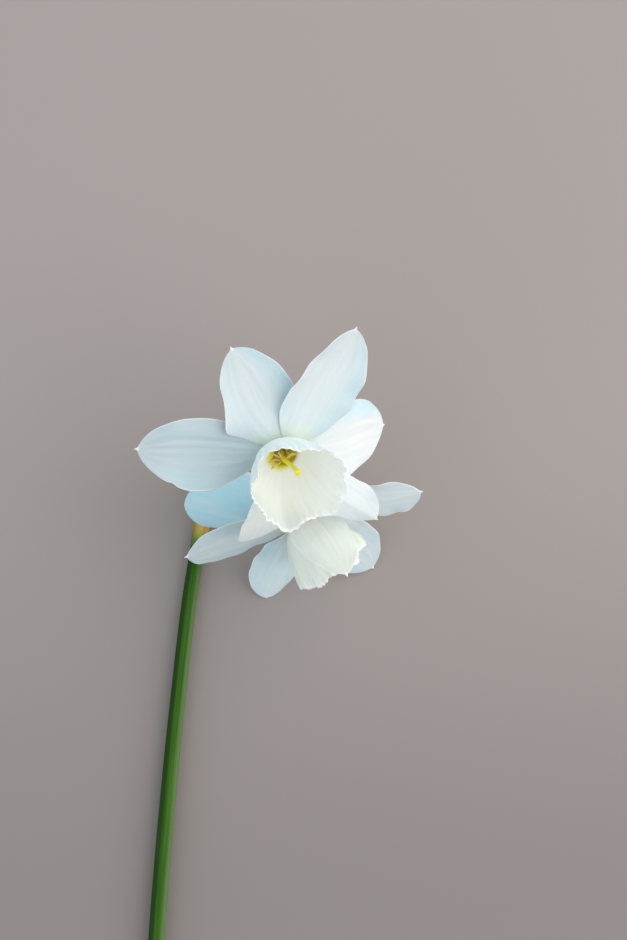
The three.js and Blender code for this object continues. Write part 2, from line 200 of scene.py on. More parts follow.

# A tepal's angles are in degrees: where it stands around its bloom's axis, how far it rises from
# the plane across that axis, and how it curls, bends and twists on the way to its tip. Its length
# and its full width are in millimetres. Point, cup and full shape its outline and its hollow, and
# root is how far above the throat it starts. Each nick is a side, a place along, a depth and a
# spread, and a negative depth is a bulge. Cool is painted cool shade over the whole tepal, and
# the flank shades paint more of it towards its two sides; shade is painted grey shade over it.
# Cream warms it all.
Tepal = namedtuple(
    "Tepal",
    "around rise curl bend twist long wide point cup full root"
    " cool keel ridge roll nicks mucro shade cream flanks",
    defaults=(0.0, 0.0, 0.3, (0.0, 0.0), (), 1.0, 0.0, 0.0, (0.0, 0.0)),
)
# In a bloom, the number after the cup's belly is how much painted cool shade its cup's outside takes.
Bloom = namedtuple("Bloom", "side throat axis cup_axis cup_scale cup_belly cup_cool rim tepals stalk")

FRONT = Bloom(
    "front",
    (4.0, 104.2, 61.8),
    (0.227, -0.522, 0.822),
    (0.227, -0.522, 0.822),
    1.0,
    (-0.75, 0.2),
    0.85,
    (
        (15, 0.9, 12),
        (32, 0.5, 8),
        (60, -1.5, 14),
        (104, 1.6, 15),
        (165, 0.7, 9),
        (181, -1.9, 9),
        (228, 1.1, 13),
        (268, -0.9, 9),
        (288, 0.9, 9),
        (325, 1.0, 20),
    ),
    (
        Tepal(
            147, 6, -3, 3, 9, 36.6, 18.6, 0.64, 0.26, 0.64, -0.4,
            0.5, 0.03, 0.5, (-0.9, 0.2),
            ((1, 0.72, 0.35, 0.03), (-1, 0.45, 0.8, 0.3), (1, 0.5, -0.8, 0.16)),
            shade=0.66,
        ),
        Tepal(
            91, 2, -1, 3, 8, 33.3, 17.8, 0.66, 0.22, 0.59, 0.1,
            0.1, 0.1, 0.3, (-0.3, 0.4), ((1, 0.62, 0.9, 0.17), (1, 0.34, -1.8, 0.14)),
            shade=0.4, flanks=(0.5, 0.0),
        ),
        Tepal(
            43, 3, -1, 0.6, 23, 37.0, 18.6, 0.63, 0.22, 0.64, 0.5,
            0.05, 0.06, 0.45, (0.3, 0.3), shade=0.27, flanks=(0.3, 0.0),
        ),
        Tepal(
            327, -37, 1, 1, -13, 35.3, 19.8, 0.58, 0.08, 0.68, -0.35,
            0.0, 0.02, 0.2, (0.0, -0.8), flanks=(0.0, 0.4),
        ),
        Tepal(
            291, -8, -3, 7, 13, 35.2, 13.8, 0.6, 0.16, 0.72, 0.35,
            0.1, 0.4, 0.15, (0.0, 0.0), ((1, 0.45, 1.2, 0.22),),
        ),
        Tepal(
            245.8, -19, -6, -20, -27, 34.3, 12.8, 0.45, 0.26, 0.72, -0.35,
            0.0, 0.05, 0.2, (0.0, 0.0), (), 0.05, cream=0.06,
        ),
    ),
    (
        (-19.6, 82.7, 2.25),
        (-18.6, 89.5, 4.2),
        (-15.4, 102.0, 11.0),
        (-9.9, 113.0, 21.0),
        (-5.2, 118.8, 31.9),
    ),
)
BACK = Bloom(
    "back",
    (8.5, 87.8, 25.65),
    (0.412, -0.848, 0.332),
    (0.53, -0.76, -0.25),
    0.92,
    (0.0, 0.0),
    0.0,
    ((75, 1.0, 25), (122, -0.9, 10), (178, -1.4, 20), (2, -0.7, 10), (335, 1.6, 16)),
    (
        Tepal(
            194, -51, 15, -6, 50, 33.8, 20.0, 0.5, -0.3, 0.56, -0.35,
            1.0, 0.0, 0.2, (0.0, 0.0),
            ((-1, 0.4, -3.5, 0.22), (-1, 0.9, 0.9, 0.15), (-1, 0.22, -6.5, 0.13)), 0.0,
        ),
        Tepal(
            161, -7, 7, 0, 14, 31.8, 17.3, 0.62, 0.0, 0.64, 0.35,
            0.35, 0.06, 0.2, shade=0.5,
        ),
        Tepal(
            79, 46, 26, 0, -12, 33.8, 14.6, 0.66, 0.12, 0.62, -0.1,
            0.0, 0.05, 0.3, (0.0, 0.7), shade=0.22, cream=0.12,
        ),
        Tepal(
            18, 20, 2, -1, -27, 32.3, 17.6, 0.66, 0.12, 0.66, 0.35,
            0.2, 0.12, 0.2, (0.0, 0.0), ((1, 0.6, 0.8, 0.25), (-1, 0.6, -1.0, 0.25)),
        ),
        Tepal(
            290, 19, 5, -2, -13, 33.9, 17.2, 0.6, 0.03, 0.67, -0.35,
            0.3, 0.03, 0.2, shade=0.32,
        ),
        Tepal(
            240, 4, 11, -5, 17, 34.3, 14.9, 0.5, -0.08, 0.58, 0.35,
            0.45, 0.15, 0.3, (0.0, 0.0), (), 0.2, 0.12,
        ),
    ),
    (
        (-18.0, 82.7, 2.3),
        (-16.6, 89.5, 4.3),
        (-13.0, 100.0, 9.6),
        (-7.4, 107.8, 12.6),
        (-3.6, 110.2, 15.2),
    ),
)
BLOOMS = (FRONT, BACK)


# ---- settings that a user would change ----


def amount(name, description, value, unit="NONE", precision=2):
    return bpy.props.FloatProperty(
        name=name, description=description, default=value, min=0.0, unit=unit, precision=precision
    )


def length(name, description, millimetres):
    return amount(name, description, millimetres * MM, "LENGTH", 5)


def colour(name, description, red, green, blue):
    return bpy.props.FloatVectorProperty(
        name=name,
        description=description,
        default=(red, green, blue),
        min=0.0,
        max=1.0,
        size=3,
        subtype="COLOR",
    )


class NarcissusStemSizes(bpy.types.PropertyGroup):
    scape_radius: length("Scape radius", "Outer radius of the flower stem", 2.15)
    hollow_radius: length("Hollow radius", "Radius of the hollow inside the stem", 1.1)
    stalk_radius: length("Stalk radius", "Radius of each flower's own stalk", 0.7)
    ovary_length: length("Ovary length", "Length of the ovary behind each bloom", 6.5)
    ovary_radius: length("Ovary radius", "Radius of the ovary at its widest", 2.1)
    sheath_thickness: length("Sheath thickness", "Thickness of the papery sheath", 0.22)


class NarcissusBloomSizes(bpy.types.PropertyGroup):
    tepal_thickness: length("Tepal thickness", "Thickness along a tepal's midrib", 0.5)
    edge_thickness: length("Edge thickness", "Thickness near a tepal's edge", 0.26)
    ridge_height: length("Ridge height", "Height of the soft lengthwise ridges", 0.6)
    vein_height: length("Vein height", "Height of the fine lengthwise veins", 0.025)
    ruffle_height: length("Ruffle height", "How far a tepal's edge waves", 0.35)
    cup_wall: length("Cup wall", "Thickness of the cup's wall", 0.4)
    pleat_depth: length("Pleat depth", "Depth of the cup's pleats", 0.45)
    lobe_depth: length("Lobe depth", "Depth of the lobes of the cup's rim", 0.45)
    frill_depth: length("Frill depth", "Depth of the fine frill on the cup's rim", 0.5)
    style_radius: length("Style radius", "Radius of the style", 0.55)
    filament_radius: length("Filament radius", "Radius of each filament", 0.2)
    anther_length: length("Anther length", "Length of each anther", 3.1)
    anther_radius: length("Anther radius", "Half the width of each anther", 0.25)


class NarcissusColours(bpy.types.PropertyGroup):
    tepal: colour("Tepal", "White of the tepals", 0.91, 0.94, 0.94)
    # Painted shade: the cool tint that stands for shade on the tepals.
    tepal_painted_shade: colour("Tepal shade", "Cool tint of shaded tepals", 0.50, 0.80, 0.92)
    tepal_root: colour("Tepal root", "Yellow-green at a tepal's root", 0.87, 0.91, 0.56)
    cup: colour("Cup", "Ivory of the cup's inside", 0.975, 0.985, 0.935)
    cup_outside: colour("Cup outside", "Cream of the cup's outside", 0.86, 0.90, 0.81)
    # Painted shade: the cool white that stands for shade on a cup's outside.
    cup_cool: colour("Cup shade", "Cool white of a shaded cup's outside", 0.77, 0.92, 0.97)
    cup_green: colour("Cup lines", "Grey-green lines down the cup", 0.78, 0.82, 0.68)
    cup_rim: colour("Cup rim", "White of the cup's frilled rim", 0.95, 0.96, 0.94)
    throat: colour("Throat", "Yellow-green deep in the cup", 0.80, 0.74, 0.02)
    stem: colour("Stem", "Green of the stem", 0.020, 0.082, 0.0)
    stem_light: colour("Stem stripe", "Lighter stripes of the stem", 0.050, 0.140, 0.010)
    # Painted shade: the deep green of the stem's left flank.
    stem_painted_shade: colour("Stem flank", "Deep green of the stem's darker flank", 0.010, 0.044, 0.001)
    flesh: colour("Cut flesh", "Pale flesh at the cut end", 0.55, 0.66, 0.33)
    stalk: colour("Stalk", "Light green of stalks and ovaries", 0.17, 0.32, 0.08)
    sheath: colour("Sheath", "Brown of the papery sheath", 0.42, 0.25, 0.08)
    sheath_gold: colour("Sheath foot", "Gold at the sheath's foot", 0.62, 0.40, 0.08)
    filament: colour("Filament", "Pale green-yellow of the filaments", 0.70, 0.68, 0.20)
    anther: colour("Anther", "Gold of the anthers", 0.80, 0.48, 0.13)
    style: colour("Style", "Yellow of the style and stigma", 0.93, 0.80, 0.05)


class NarcissusStudio(bpy.types.PropertyGroup):
    floor: colour("Floor", "Plain pale floor", 0.374, 0.325, 0.312)
    sky: colour("Fill light", "Colour of the soft light all round", 0.93, 0.98, 1.0)
    fill_strength: amount("Fill strength", "Strength of the soft light all round", 0.63)
    key_power: amount("Key power", "Power of the large soft light", 9.0, "POWER")
    side_power: amount("Side power", "Power of the cool soft light from the left", 3.4, "POWER")
    key_size: length("Key size", "Side of each large soft light", 1300)
    camera_distance: length("Camera distance", "From the camera to the front bloom", 650)
    view_height: length("View height", "Height of what the camera takes in there", 225.6)


GROUPS = (
    ("narcissus_stem", NarcissusStemSizes),
    ("narcissus_bloom", NarcissusBloomSizes),
    ("narcissus_colours", NarcissusColours),
    ("narcissus_studio", NarcissusStudio),
)


# ---- shape tools ----


def unit(vector):
    return vector / np.linalg.norm(vector, axis=-1, keepdims=True)


def smoothstep(value, low, high):
    share = np.clip((value - low) / (high - low), 0.0, 1.0)
    return share * share * (3 - 2 * share)


def round_angles(sides):
    return np.linspace(0, 2 * math.pi, sides, endpoint=False)


def apart(angle, other):
    """How far an angle is from another, the short way round."""
    return np.angle(np.exp(1j * (angle - other)))


def laid_out(*coordinates):
    """Points whose coordinates are given as grids, rows or columns that fit together."""
    return np.stack(np.broadcast_arrays(*coordinates), axis=-1)


def directions(axis):
    """A bloom's axis and two directions across it."""
    axis = unit(np.array(axis, float))
    heading = math.atan2(axis[1], axis[0])
    first = np.array((-math.sin(heading), math.cos(heading), 0.0))
    return axis, first, np.cross(axis, first)


def placed(points, axis, throat):
    """Carries points made round +Z, with the throat at the origin, to their bloom."""
    axis, first, second = directions(axis)
    basis = np.stack([first, second, axis])
    return points @ basis + np.array(throat)


def nodded(rings, bloom):
    """Carries rings made round +Z to their bloom, bending them over to the cup's axis.

    The bend grows little by little above the throat, up to the height where a cup's axis is
    the cup's own.
    """
    axis, first, second = directions(bloom.axis)
    cup = unit(np.array(bloom.cup_axis, float))
    turn = math.acos(min(cup @ axis, 1.0))
    side = np.array((cup @ first, cup @ second))
    side = side / max(np.linalg.norm(side), 1e-9)
    heights = np.linspace(0.0, NOD_REACH, NOD_STEPS + 1)
    angles = turn * smoothstep(heights, 0.0, CUP_NOD_HEIGHT)
    step = heights[1]
    halfway = angles[:-1] + np.diff(angles) / 2
    over = np.concatenate([[0.0], np.cumsum(np.sin(halfway)) * step])
    up = np.concatenate([[0.0], np.cumsum(np.cos(halfway)) * step])
    points = rings.reshape(-1, 3)
    height = points[:, 2]
    angle = turn * smoothstep(height, 0.0, CUP_NOD_HEIGHT)
    aside = points[:, :2] @ side
    moved = np.interp(height, heights, over) + aside * (np.cos(angle) - 1)
    bent = np.empty_like(points)
    bent[:, :2] = points[:, :2] + side * moved[:, None]
    bent[:, 2] = np.where(height > 0, np.interp(height, heights, up), height)
    bent[:, 2] -= aside * np.sin(angle)
    return placed(bent, bloom.axis, bloom.throat).reshape(rings.shape)


def curve_through(points, count):
    """Evenly spaced points on a centripetal curve through the given ones."""
    points = np.array(points, float)
    ends = [2 * points[0] - points[1], 2 * points[-1] - points[-2]]
    knots = np.vstack([ends[0], points, ends[1]])
    dense = []
    for a, b, c, d in zip(knots, knots[1:], knots[2:], knots[3:]):
        steps = [math.sqrt(np.linalg.norm(q - p)) for p, q in ((a, b), (b, c), (c, d))]
        leave = (b - a) / steps[0] - (c - a) / (steps[0] + steps[1]) + (c - b) / steps[1]
        reach = (c - b) / steps[1] - (d - b) / (steps[1] + steps[2]) + (d - c) / steps[2]
        leave, reach = leave * steps[1], reach * steps[1]
        for t in np.linspace(0, 1, 24, endpoint=False):
            dense.append(
                b
                + leave * t
                + (3 * (c - b) - 2 * leave - reach) * t**2
                + (2 * (b - c) + leave + reach) * t**3
            )
    dense = np.array([*dense, points[-1]])
    gone = np.concatenate([[0], np.cumsum(np.linalg.norm(np.diff(dense, axis=0), axis=1))])
    wanted = np.linspace(0, gone[-1], count)
    return np.stack([np.interp(wanted, gone, dense[:, k]) for k in range(3)], axis=1)


def frames_along(points):
    """The direction of a path at each point, and two steady directions across it."""
    ahead = unit(np.gradient(points, axis=0))
    side = unit(np.cross(ahead[0], (0.0, 0.0, 1.0)))
    sides = []
    for way in ahead:
        side = unit(side - way * (side @ way))
        sides.append(side)
    sides = np.array(sides)
    return ahead, sides, np.cross(sides, ahead)


class Shell:
    """Closed surfaces under construction, with the values that their finishes read."""

    def __init__(self):
        self.points = []
        self.faces = []
        self.values = {"along": [], "across": [], "inside": [], "cool": [], "shade": []}
        self.places = []
        self.kinds = []
        self.count = 0

    def add_rings(
        self, rings, place, along=0.0, across=0.0, inside=0.0, cool=0.0, shade=0.0, kind=0, tyre=False
    ):
        """Rings of equally many points, joined in order.

        They are closed by a face at both ends, or, as in a tyre, by joining the last ring to
        the first.
        """
        rows, around = rings.shape[:2]
        base = self.count
        at = base + np.arange(rows * around).reshape(rows, around)
        loop = np.vstack([at, at[:1]]) if tyre else at
        ahead = np.roll(loop, -1, axis=1)
        quads = np.stack([loop[:-1], loop[1:], ahead[1:], ahead[:-1]], axis=-1).reshape(-1, 4)
        faces = quads.tolist()
        if not tyre:
            faces.append(at[0].tolist())
            faces.append(at[-1][::-1].tolist())
        self.faces += faces
        self.kinds += [kind] * len(faces)
        self.points.append(rings.reshape(-1, 3))
        shape = (rows, around)
        for name, value in zip(self.values, (along, across, inside, cool, shade)):
            self.values[name].append(np.broadcast_to(value, shape).reshape(-1))
        self.places.append(np.broadcast_to(place, (rows, around, 3)).reshape(-1, 3))
        self.count += rows * around

    def add_blade(self, grid, thickness, place, s, t, cool, inside=0.0, shade=0.0):
        """A thin blade round a grid of points, with s along it and t across it."""
        rings = blade_rings(grid, thickness)
        place, along, across, cool = map(both_faces, (place, s + 0 * t, t + 0 * s, cool))
        self.add_rings(rings, place, along, across, inside, cool, shade)

    def piece(self, name, finishes, slot, *nodes):
        """Makes the object, rides it on the plant and lets it stand for its nodes."""
        mesh = bpy.data.meshes.new(name)
        points = np.concatenate(self.points) * MM
        mesh.from_pydata(points.tolist(), [], self.faces)
        for value, lists in self.values.items():
            layer = mesh.attributes.new(value, "FLOAT", "POINT")
            layer.data.foreach_set("value", np.concatenate(lists).astype(np.float32))
        layer = mesh.attributes.new("place", "FLOAT_VECTOR", "POINT")
        layer.data.foreach_set("vector", np.concatenate(self.places).astype(np.float32).ravel())
        for finish in finishes:
            mesh.materials.append(finish)
        mesh.polygons.foreach_set("material_index", self.kinds)
        shell = bmesh.new()
        shell.from_mesh(mesh)
        bmesh.ops.recalc_face_normals(shell, faces=shell.faces)
        shell.to_mesh(mesh)
        shell.free()
        mesh.polygons.foreach_set("use_smooth", [True] * len(mesh.polygons))
        mesh.update()
        made = bpy.data.objects.new(name, mesh)
        bpy.context.scene.collection.objects.link(made)
        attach(made, BODY)
        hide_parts(*nodes)


def blade_rings(grid, thickness):
    """Closes a grid of points (rows, columns) into rings: its front, then its back."""
    along = np.gradient(grid, axis=0)
    over = np.gradient(grid, axis=1)
    normal = unit(np.cross(along, over) + 1e-12)
    front = grid + normal * thickness[..., None] / 2
    back = grid - normal * thickness[..., None] / 2
    return np.concatenate([front, back[:, -2:0:-1]], axis=1)


def both_faces(value):
    """A value of a blade's grid, laid out as blade_rings lays out its points."""
    return np.concatenate([value, value[:, -2:0:-1]], axis=1)


def edge_spacing(columns):
    """Places across a blade from -1 to 1, closer together near its edges."""
    even = np.linspace(-1, 1, columns)
    return 0.45 * even + 0.55 * np.sin(even * math.pi / 2)


def sweep(path, radii, sides, section=None):
    """Rings round a path, one for each of its points."""
    _, side, up = frames_along(path)
    angle = round_angles(sides)
    wide = np.array(radii)[:, None] * (1.0 if section is None else section(angle)[None, :])
    return (
        path[:, None, :]
        + side[:, None, :] * (wide * np.cos(angle))[..., None]
        + up[:, None, :] * (wide * np.sin(angle))[..., None]
    )


def lathe(profile, sides, section=None):
    """Rings round +Z from a profile of radius and height."""
    angle = round_angles(sides)
    radius = np.array([p[0] for p in profile])[:, None]
    height = np.array([p[1] for p in profile])[:, None]
    wide = radius * (np.ones(sides) if section is None else section(angle))[None, :]
    return laid_out(wide * np.cos(angle), wide * np.sin(angle), height)


def round_profile(profile, count):
    """A profile's points, smoothed to a curve."""
    flat = np.array([(r, h, 0.0) for r, h in profile])
    return [(p[0], p[1]) for p in curve_through(flat, count)]


# ---- finish tools ----

# Fixed tints that the finishes mix in besides the user's colours.
PETAL_BLUSH = (0.90, 0.86, 0.86)
PETAL_SHADOW = (0.42, 0.47, 0.50)
# Painted highlight along the tepals' rims; it also whitens their tips.
PETAL_RIM = (0.93, 0.95, 0.95)
CUP_SHADOW = (0.60, 0.66, 0.62)
# Painted light on the stem's right flank.
STEM_PAINTED_LIGHT = (0.13, 0.22, 0.08)
STEM_WAX = (0.11, 0.24, 0.06)
STEM_TOP = (0.16, 0.22, 0.03)
SHEATH_FOOT = (0.34, 0.33, 0.04)
# Painted shade on the sheath's left flank near its foot.
SHEATH_PAINTED_SHADE = (0.10, 0.14, 0.01)
SHEATH_VEIN = (0.16, 0.08, 0.025)
FILAMENT_TIP = (0.78, 0.50, 0.26)
FILAMENT_GRAIN = (0.62, 0.50, 0.12)
POLLEN_LIGHT = (0.92, 0.72, 0.36)
STYLE_GREEN = (0.66, 0.62, 0.06)


class Finish:
    """A procedural finish: one principled shader and the nodes that feed it."""

    def __init__(self, name):
        self.material = bpy.data.materials.new(name)
        self.material.use_nodes = True
        self.tree = self.material.node_tree
        self.shader = self.tree.nodes["Principled BSDF"]

    def node(self, kind, settings=(), **inputs):
        """Adds a node. Its settings go by name, its inputs by number, as in _0 and _1."""
        made = self.tree.nodes.new(kind)
        for name, value in dict(settings).items():
            setattr(made, name, value)
        for name, value in inputs.items():
            self.put(made.inputs[int(name[1:])], value)
        return made

    def put(self, socket, value):
        if isinstance(value, bpy.types.NodeSocket):
            self.tree.links.new(value, socket)
        elif socket.type == "RGBA":
            socket.default_value = (*value, 1.0)
        else:
            socket.default_value = value

    def set(self, **values):
        for name, value in values.items():
            self.put(self.shader.inputs[name.replace("_", " ")], value)

    def value(self, name):
        made = self.node("ShaderNodeAttribute", {"attribute_name": name})
        return made.outputs["Fac"]

    def place(self, scale):
        made = self.node("ShaderNodeAttribute", {"attribute_name": "place"})
        scaled = self.node("ShaderNodeMapping", _0=made.outputs["Vector"], _3=scale)
        return scaled.outputs[0]

    def part(self, vector, number):
        """One coordinate of a vector: 0 for X, 1 for Y, 2 for Z."""
        return self.node("ShaderNodeSeparateXYZ", _0=vector).outputs[number]

    def maths(self, operation, first, second=0.0):
        made = self.node("ShaderNodeMath", {"operation": operation}, _0=first, _1=second)
        return made.outputs[0]

    def plus(self, first, second):
        return self.maths("ADD", first, second)

    def times(self, first, second):
        return self.maths("MULTIPLY", first, second)

    def between(self, value, low, high, start=0.0, end=1.0):
        smooth = {"interpolation_type": "SMOOTHSTEP"}
        made = self.node("ShaderNodeMapRange", smooth, _0=value, _1=low, _2=high, _3=start, _4=end)
        return made.outputs[0]

    def noise(self, place, scale=1.0, detail=2.0):
        made = self.node("ShaderNodeTexNoise", _0=place, _2=scale, _3=detail, _4=0.5)
        return made.outputs[0]

    def grain(self, across, along, through, detail=2.0):
        """Noise that follows the surface, with how often it changes per millimetre each way."""
        return self.noise(self.place((across, along, through)), detail=detail)

    def mix(self, factor, first, second):
        made = self.node("ShaderNodeMix", {"data_type": "RGBA"}, _0=factor)
        self.put(made.inputs[6], first)
        self.put(made.inputs[7], second)
        return made.outputs[2]

    def bump(self, height, distance):
        """Fine relief, with its height in millimetres."""
        made = self.node("ShaderNodeBump", _0=1.0, _1=distance * MM)
        self.put(made.inputs["Height"], height)
        self.set(Normal=made.outputs[0])

    def skin(self, colour, roughness, glow, depth, tint=None, **more):
        """Living skin: light goes in by so many millimetres, and comes out tinted."""
        self.set(Base_Color=colour, Roughness=roughness, Subsurface_Weight=glow, **more)
        self.set(Subsurface_Scale=depth * MM)
        if tint:
            self.set(Subsurface_Radius=tint)


def colours():
    """The colours that the user has set, as plain tuples."""
    chosen = bpy.context.scene.narcissus_colours
    names = NarcissusColours.__annotations__
    return SimpleNamespace(**{name: tuple(getattr(chosen, name)) for name in names})


def petal_surface(finish, skin, relief, height):
    """Gives a petal's finish its skin colour, its glow and its fine relief."""
    finish.skin(skin, 0.52, 0.45, 1.2, (1.0, 1.0, 0.9), Specular_IOR_Level=0.3)
    finish.set(Sheen_Weight=0.06, Sheen_Roughness=0.4)
    finish.bump(relief, height)


def tepal_finish():
    """White tepal: fine lengthwise veins and a yellow-green root.

    It takes painted cool shade towards its sides, painted grey shade, and a painted highlight on its
    rim.
    """
    look = colours()
    finish = Finish("tepal_skin")
    along = finish.value("along")
    cool = finish.value("cool")
    edge = finish.maths("ABSOLUTE", finish.value("across"))
    veins = finish.grain(1.5, 0.05, 1.0, detail=3.0)
    clouds = finish.grain(0.14, 0.07, 1.0)
    # Painted cool shade: bluer in patches towards the sides, and more where the cool value asks.
    patches = finish.between(clouds, 0.35, 0.65, 0.2, 0.7)
    sides = finish.times(finish.between(edge, 0.1, 0.85), patches)
    tinted = finish.plus(sides, finish.between(clouds, 0.3, 0.7, 0.75, 1.0))
    cool_shade_wash = finish.plus(finish.times(sides, 0.15), finish.times(cool, tinted))
    skin = finish.mix(cool_shade_wash, look.tepal, look.tepal_painted_shade)
    streak = finish.between(veins, 0.4, 0.7, 0.0, 0.2)
    skin = finish.mix(streak, skin, look.tepal_painted_shade)
    blush = finish.between(veins, 0.5, 0.3, 0.0, 0.22)
    skin = finish.mix(blush, skin, PETAL_BLUSH)
    lined = finish.between(veins, 0.3, 0.7, 0.4, 0.8)
    root = finish.times(finish.between(along, 0.0, 0.2, 1.0, 0.0), lined)
    skin = finish.mix(root, skin, look.tepal_root)
    # Painted grey shade: each tepal's own shade value, and more towards its tip.
    shade = finish.plus(finish.value("shade"), finish.between(along, 0.6, 1.0, 0.0, 0.12))
    skin = finish.mix(shade, skin, PETAL_SHADOW)
    skin = finish.mix(finish.value("inside"), skin, look.throat)
    # A painted highlight along the rim, which also whitens the tip.
    rim = finish.between(edge, 0.95, 0.99, 0.0, 0.8)
    tip = finish.between(along, 0.985, 1.0, 0.0, 0.8)
    skin = finish.mix(finish.maths("MAXIMUM", rim, tip), skin, PETAL_RIM)
    cells = finish.grain(6.0, 2.0, 1.0)
    relief = finish.plus(veins, finish.times(cells, 0.25))
    petal_surface(finish, skin, relief, 0.08)
    return finish.material


def cup_finish():
    """Ivory cup: radial lines, a whiter frilled rim, a yellow-green throat inside.

    Its outside takes painted cool shade, and one side of its inside painted shade.
    """
    look = colours()
    finish = Finish("cup_skin")
    along = finish.value("along")
    inside = finish.value("inside")
    lines = finish.grain(1.4, 0.07, 1.0, detail=3.0)
    # Painted cool shade on the outside, as much as the bloom asks; the lines fade under it.
    outside = finish.mix(finish.value("cool"), look.cup_outside, look.cup_cool)
    veined = finish.maths("SUBTRACT", 1.0, finish.times(finish.value("cool"), 0.8))
    veined = finish.times(veined, finish.between(lines, 0.35, 0.65, 0.0, 0.5))
    outside = finish.mix(veined, outside, look.cup_green)
    skin = finish.mix(inside, outside, look.cup)
    # Painted shade on one side of the inside.
    skin = finish.mix(finish.times(inside, finish.value("shade")), skin, CUP_SHADOW)
    faint = finish.times(inside, finish.between(lines, 0.4, 0.7, 0.0, 0.22))
    skin = finish.mix(faint, skin, look.cup_green)
    skin = finish.mix(finish.between(along, 0.93, 0.99, 0.0, 0.9), skin, look.cup_rim)
    depth = finish.plus(along, finish.between(lines, 0.3, 0.7, -0.015, 0.015))
    depth = finish.plus(depth, finish.times(finish.value("across"), -0.05))
    throat = finish.times(finish.between(depth, 0.06, 0.17, 1.0, 0.0), inside)
    skin = finish.mix(throat, skin, look.throat)
    cells = finish.grain(5.0, 2.0, 1.0)
    relief = finish.plus(lines, finish.times(cells, 0.25))
    petal_surface(finish, skin, relief, 0.12)
    return finish.material


def stem_finish():
    """Green stem: lengthwise stripes, a waxy bloom, yellow-green towards the sheath.

    Its right flank takes painted light and its left flank painted shade.
    """
    look = colours()
    finish = Finish("stem_skin")
    along = finish.value("along")
    stripes = finish.grain(1.6, 0.03, 1.0, detail=3.0)
    wax = finish.grain(0.5, 0.08, 1.0, detail=4.0)
    flank = finish.part(finish.place((1.0, 1.0, 1.0)), 0)
    skin = finish.mix(finish.between(stripes, 0.3, 0.75, 0.0, 0.8), look.stem, look.stem_light)
    # Painted light on the right flank and painted shade on the left, as the key light falls from the
    # right.
    skin = finish.mix(finish.between(flank, 0.5, 1.9, 0.0, 0.8), skin, STEM_PAINTED_LIGHT)
    skin = finish.mix(finish.between(flank, -0.3, -1.0, 0.0, 0.9), skin, look.stem_painted_shade)
    skin = finish.mix(finish.between(wax, 0.45, 0.8, 0.0, 0.1), skin, STEM_WAX)
    skin = finish.mix(finish.between(along, 0.985, 1.0, 0.0, 0.5), skin, STEM_TOP)
    rough = finish.between(wax, 0.3, 0.7, 0.42, 0.56)
    finish.skin(skin, rough, 0.12, 0.8, (0.6, 1.0, 0.3), Specular_IOR_Level=0.14)
    finish.bump(stripes, 0.12)
    return finish.material


def flesh_finish():
    """Pale juicy flesh at the stem's cut end, with darker dots of vessels."""
    look = colours()
    finish = Finish("cut_flesh")
    spots = finish.grain(1.8, 1.8, 1.8)
    skin = finish.mix(finish.between(spots, 0.5, 0.65), look.flesh, look.stem_light)
    finish.skin(skin, 0.3, 0.3, 1.0, (0.7, 1.0, 0.4))
    finish.bump(spots, 0.2)
    return finish.material


def stalk_finish():
    """Light green stalk and ovary, paler where the ovary meets the tube."""
    look = colours()
    finish = Finish("stalk_skin")
    stripes = finish.grain(1.6, 0.08, 1.0, detail=3.0)
    skin = finish.mix(finish.between(stripes, 0.35, 0.7), look.stalk, look.stem_light)
    finish.skin(skin, 0.42, 0.15, 0.8, (0.7, 1.0, 0.3))
    finish.bump(stripes, 0.1)
    return finish.material


def sheath_finish():
    """Papery sheath: green-gold foot, brown veined paper towards its tip."""
    look = colours()
    finish = Finish("sheath_paper")
    along = finish.value("along")
    veins = finish.grain(2.2, 0.08, 2.2, detail=3.0)
    blots = finish.grain(0.6, 0.4, 0.6, detail=3.0)
    skin = finish.mix(finish.between(along, 0.04, 0.12), look.stem_light, SHEATH_FOOT)
    skin = finish.mix(finish.between(along, 0.1, 0.19), skin, look.sheath_gold)
    aged = finish.plus(along, finish.between(blots, 0.35, 0.65, -0.12, 0.12))
    skin = finish.mix(finish.between(aged, 0.25, 0.6), skin, look.sheath)
    # Painted shade: a darker green down the left flank near the foot, on the side away from the key
    # light.
    flank = finish.between(finish.value("cool"), 0.55, 0.95, 0.0, 0.7)
    green = finish.times(flank, finish.between(along, 0.5, 0.1))
    skin = finish.mix(green, skin, SHEATH_PAINTED_SHADE)
    lined = finish.between(veins, 0.45, 0.75, 0.0, 0.6)
    lined = finish.times(lined, finish.between(along, 0.1, 0.3))
    skin = finish.mix(lined, skin, SHEATH_VEIN)
    finish.skin(skin, 0.62, 0.2, 0.6, (1.0, 0.7, 0.3))
    finish.bump(finish.plus(veins, blots), 0.15)
    return finish.material


def filament_finish():
    """Pale filaments, peach towards their tips."""
    look = colours()
    finish = Finish("filament_skin")
    grain = finish.grain(2.0, 2.0, 2.0)
    tip = finish.between(finish.value("along"), 0.45, 0.95)
    skin = finish.mix(tip, look.filament, FILAMENT_TIP)
    skin = finish.mix(finish.between(grain, 0.4, 0.7, 0.0, 0.3), skin, FILAMENT_GRAIN)
    finish.skin(skin, 0.45, 0.15, 0.6)
    finish.bump(grain, 0.05)
    return finish.material


def anther_finish():
    """Golden anthers, grainy with pollen."""
    look = colours()
    finish = Finish("anther_pollen")
    pollen = finish.grain(7.0, 7.0, 7.0, detail=3.0)
    skin = finish.mix(finish.between(pollen, 0.35, 0.65), look.anther, POLLEN_LIGHT)
    finish.set(Base_Color=skin, Roughness=0.85, Sheen_Weight=0.2)
    finish.bump(pollen, 0.18)
    return finish.material


def style_finish():
    """Moist yellow style and stigma."""
    look = colours()
    finish = Finish("style_skin")
    grain = finish.grain(1.6, 0.5, 1.6)
    skin = finish.mix(finish.between(grain, 0.35, 0.7, 0.0, 0.3), look.style, STYLE_GREEN)
    finish.skin(skin, 0.38, 0.2, 0.8)
    finish.bump(grain, 0.06)
    return finish.material


# ---- the plant's organs ----


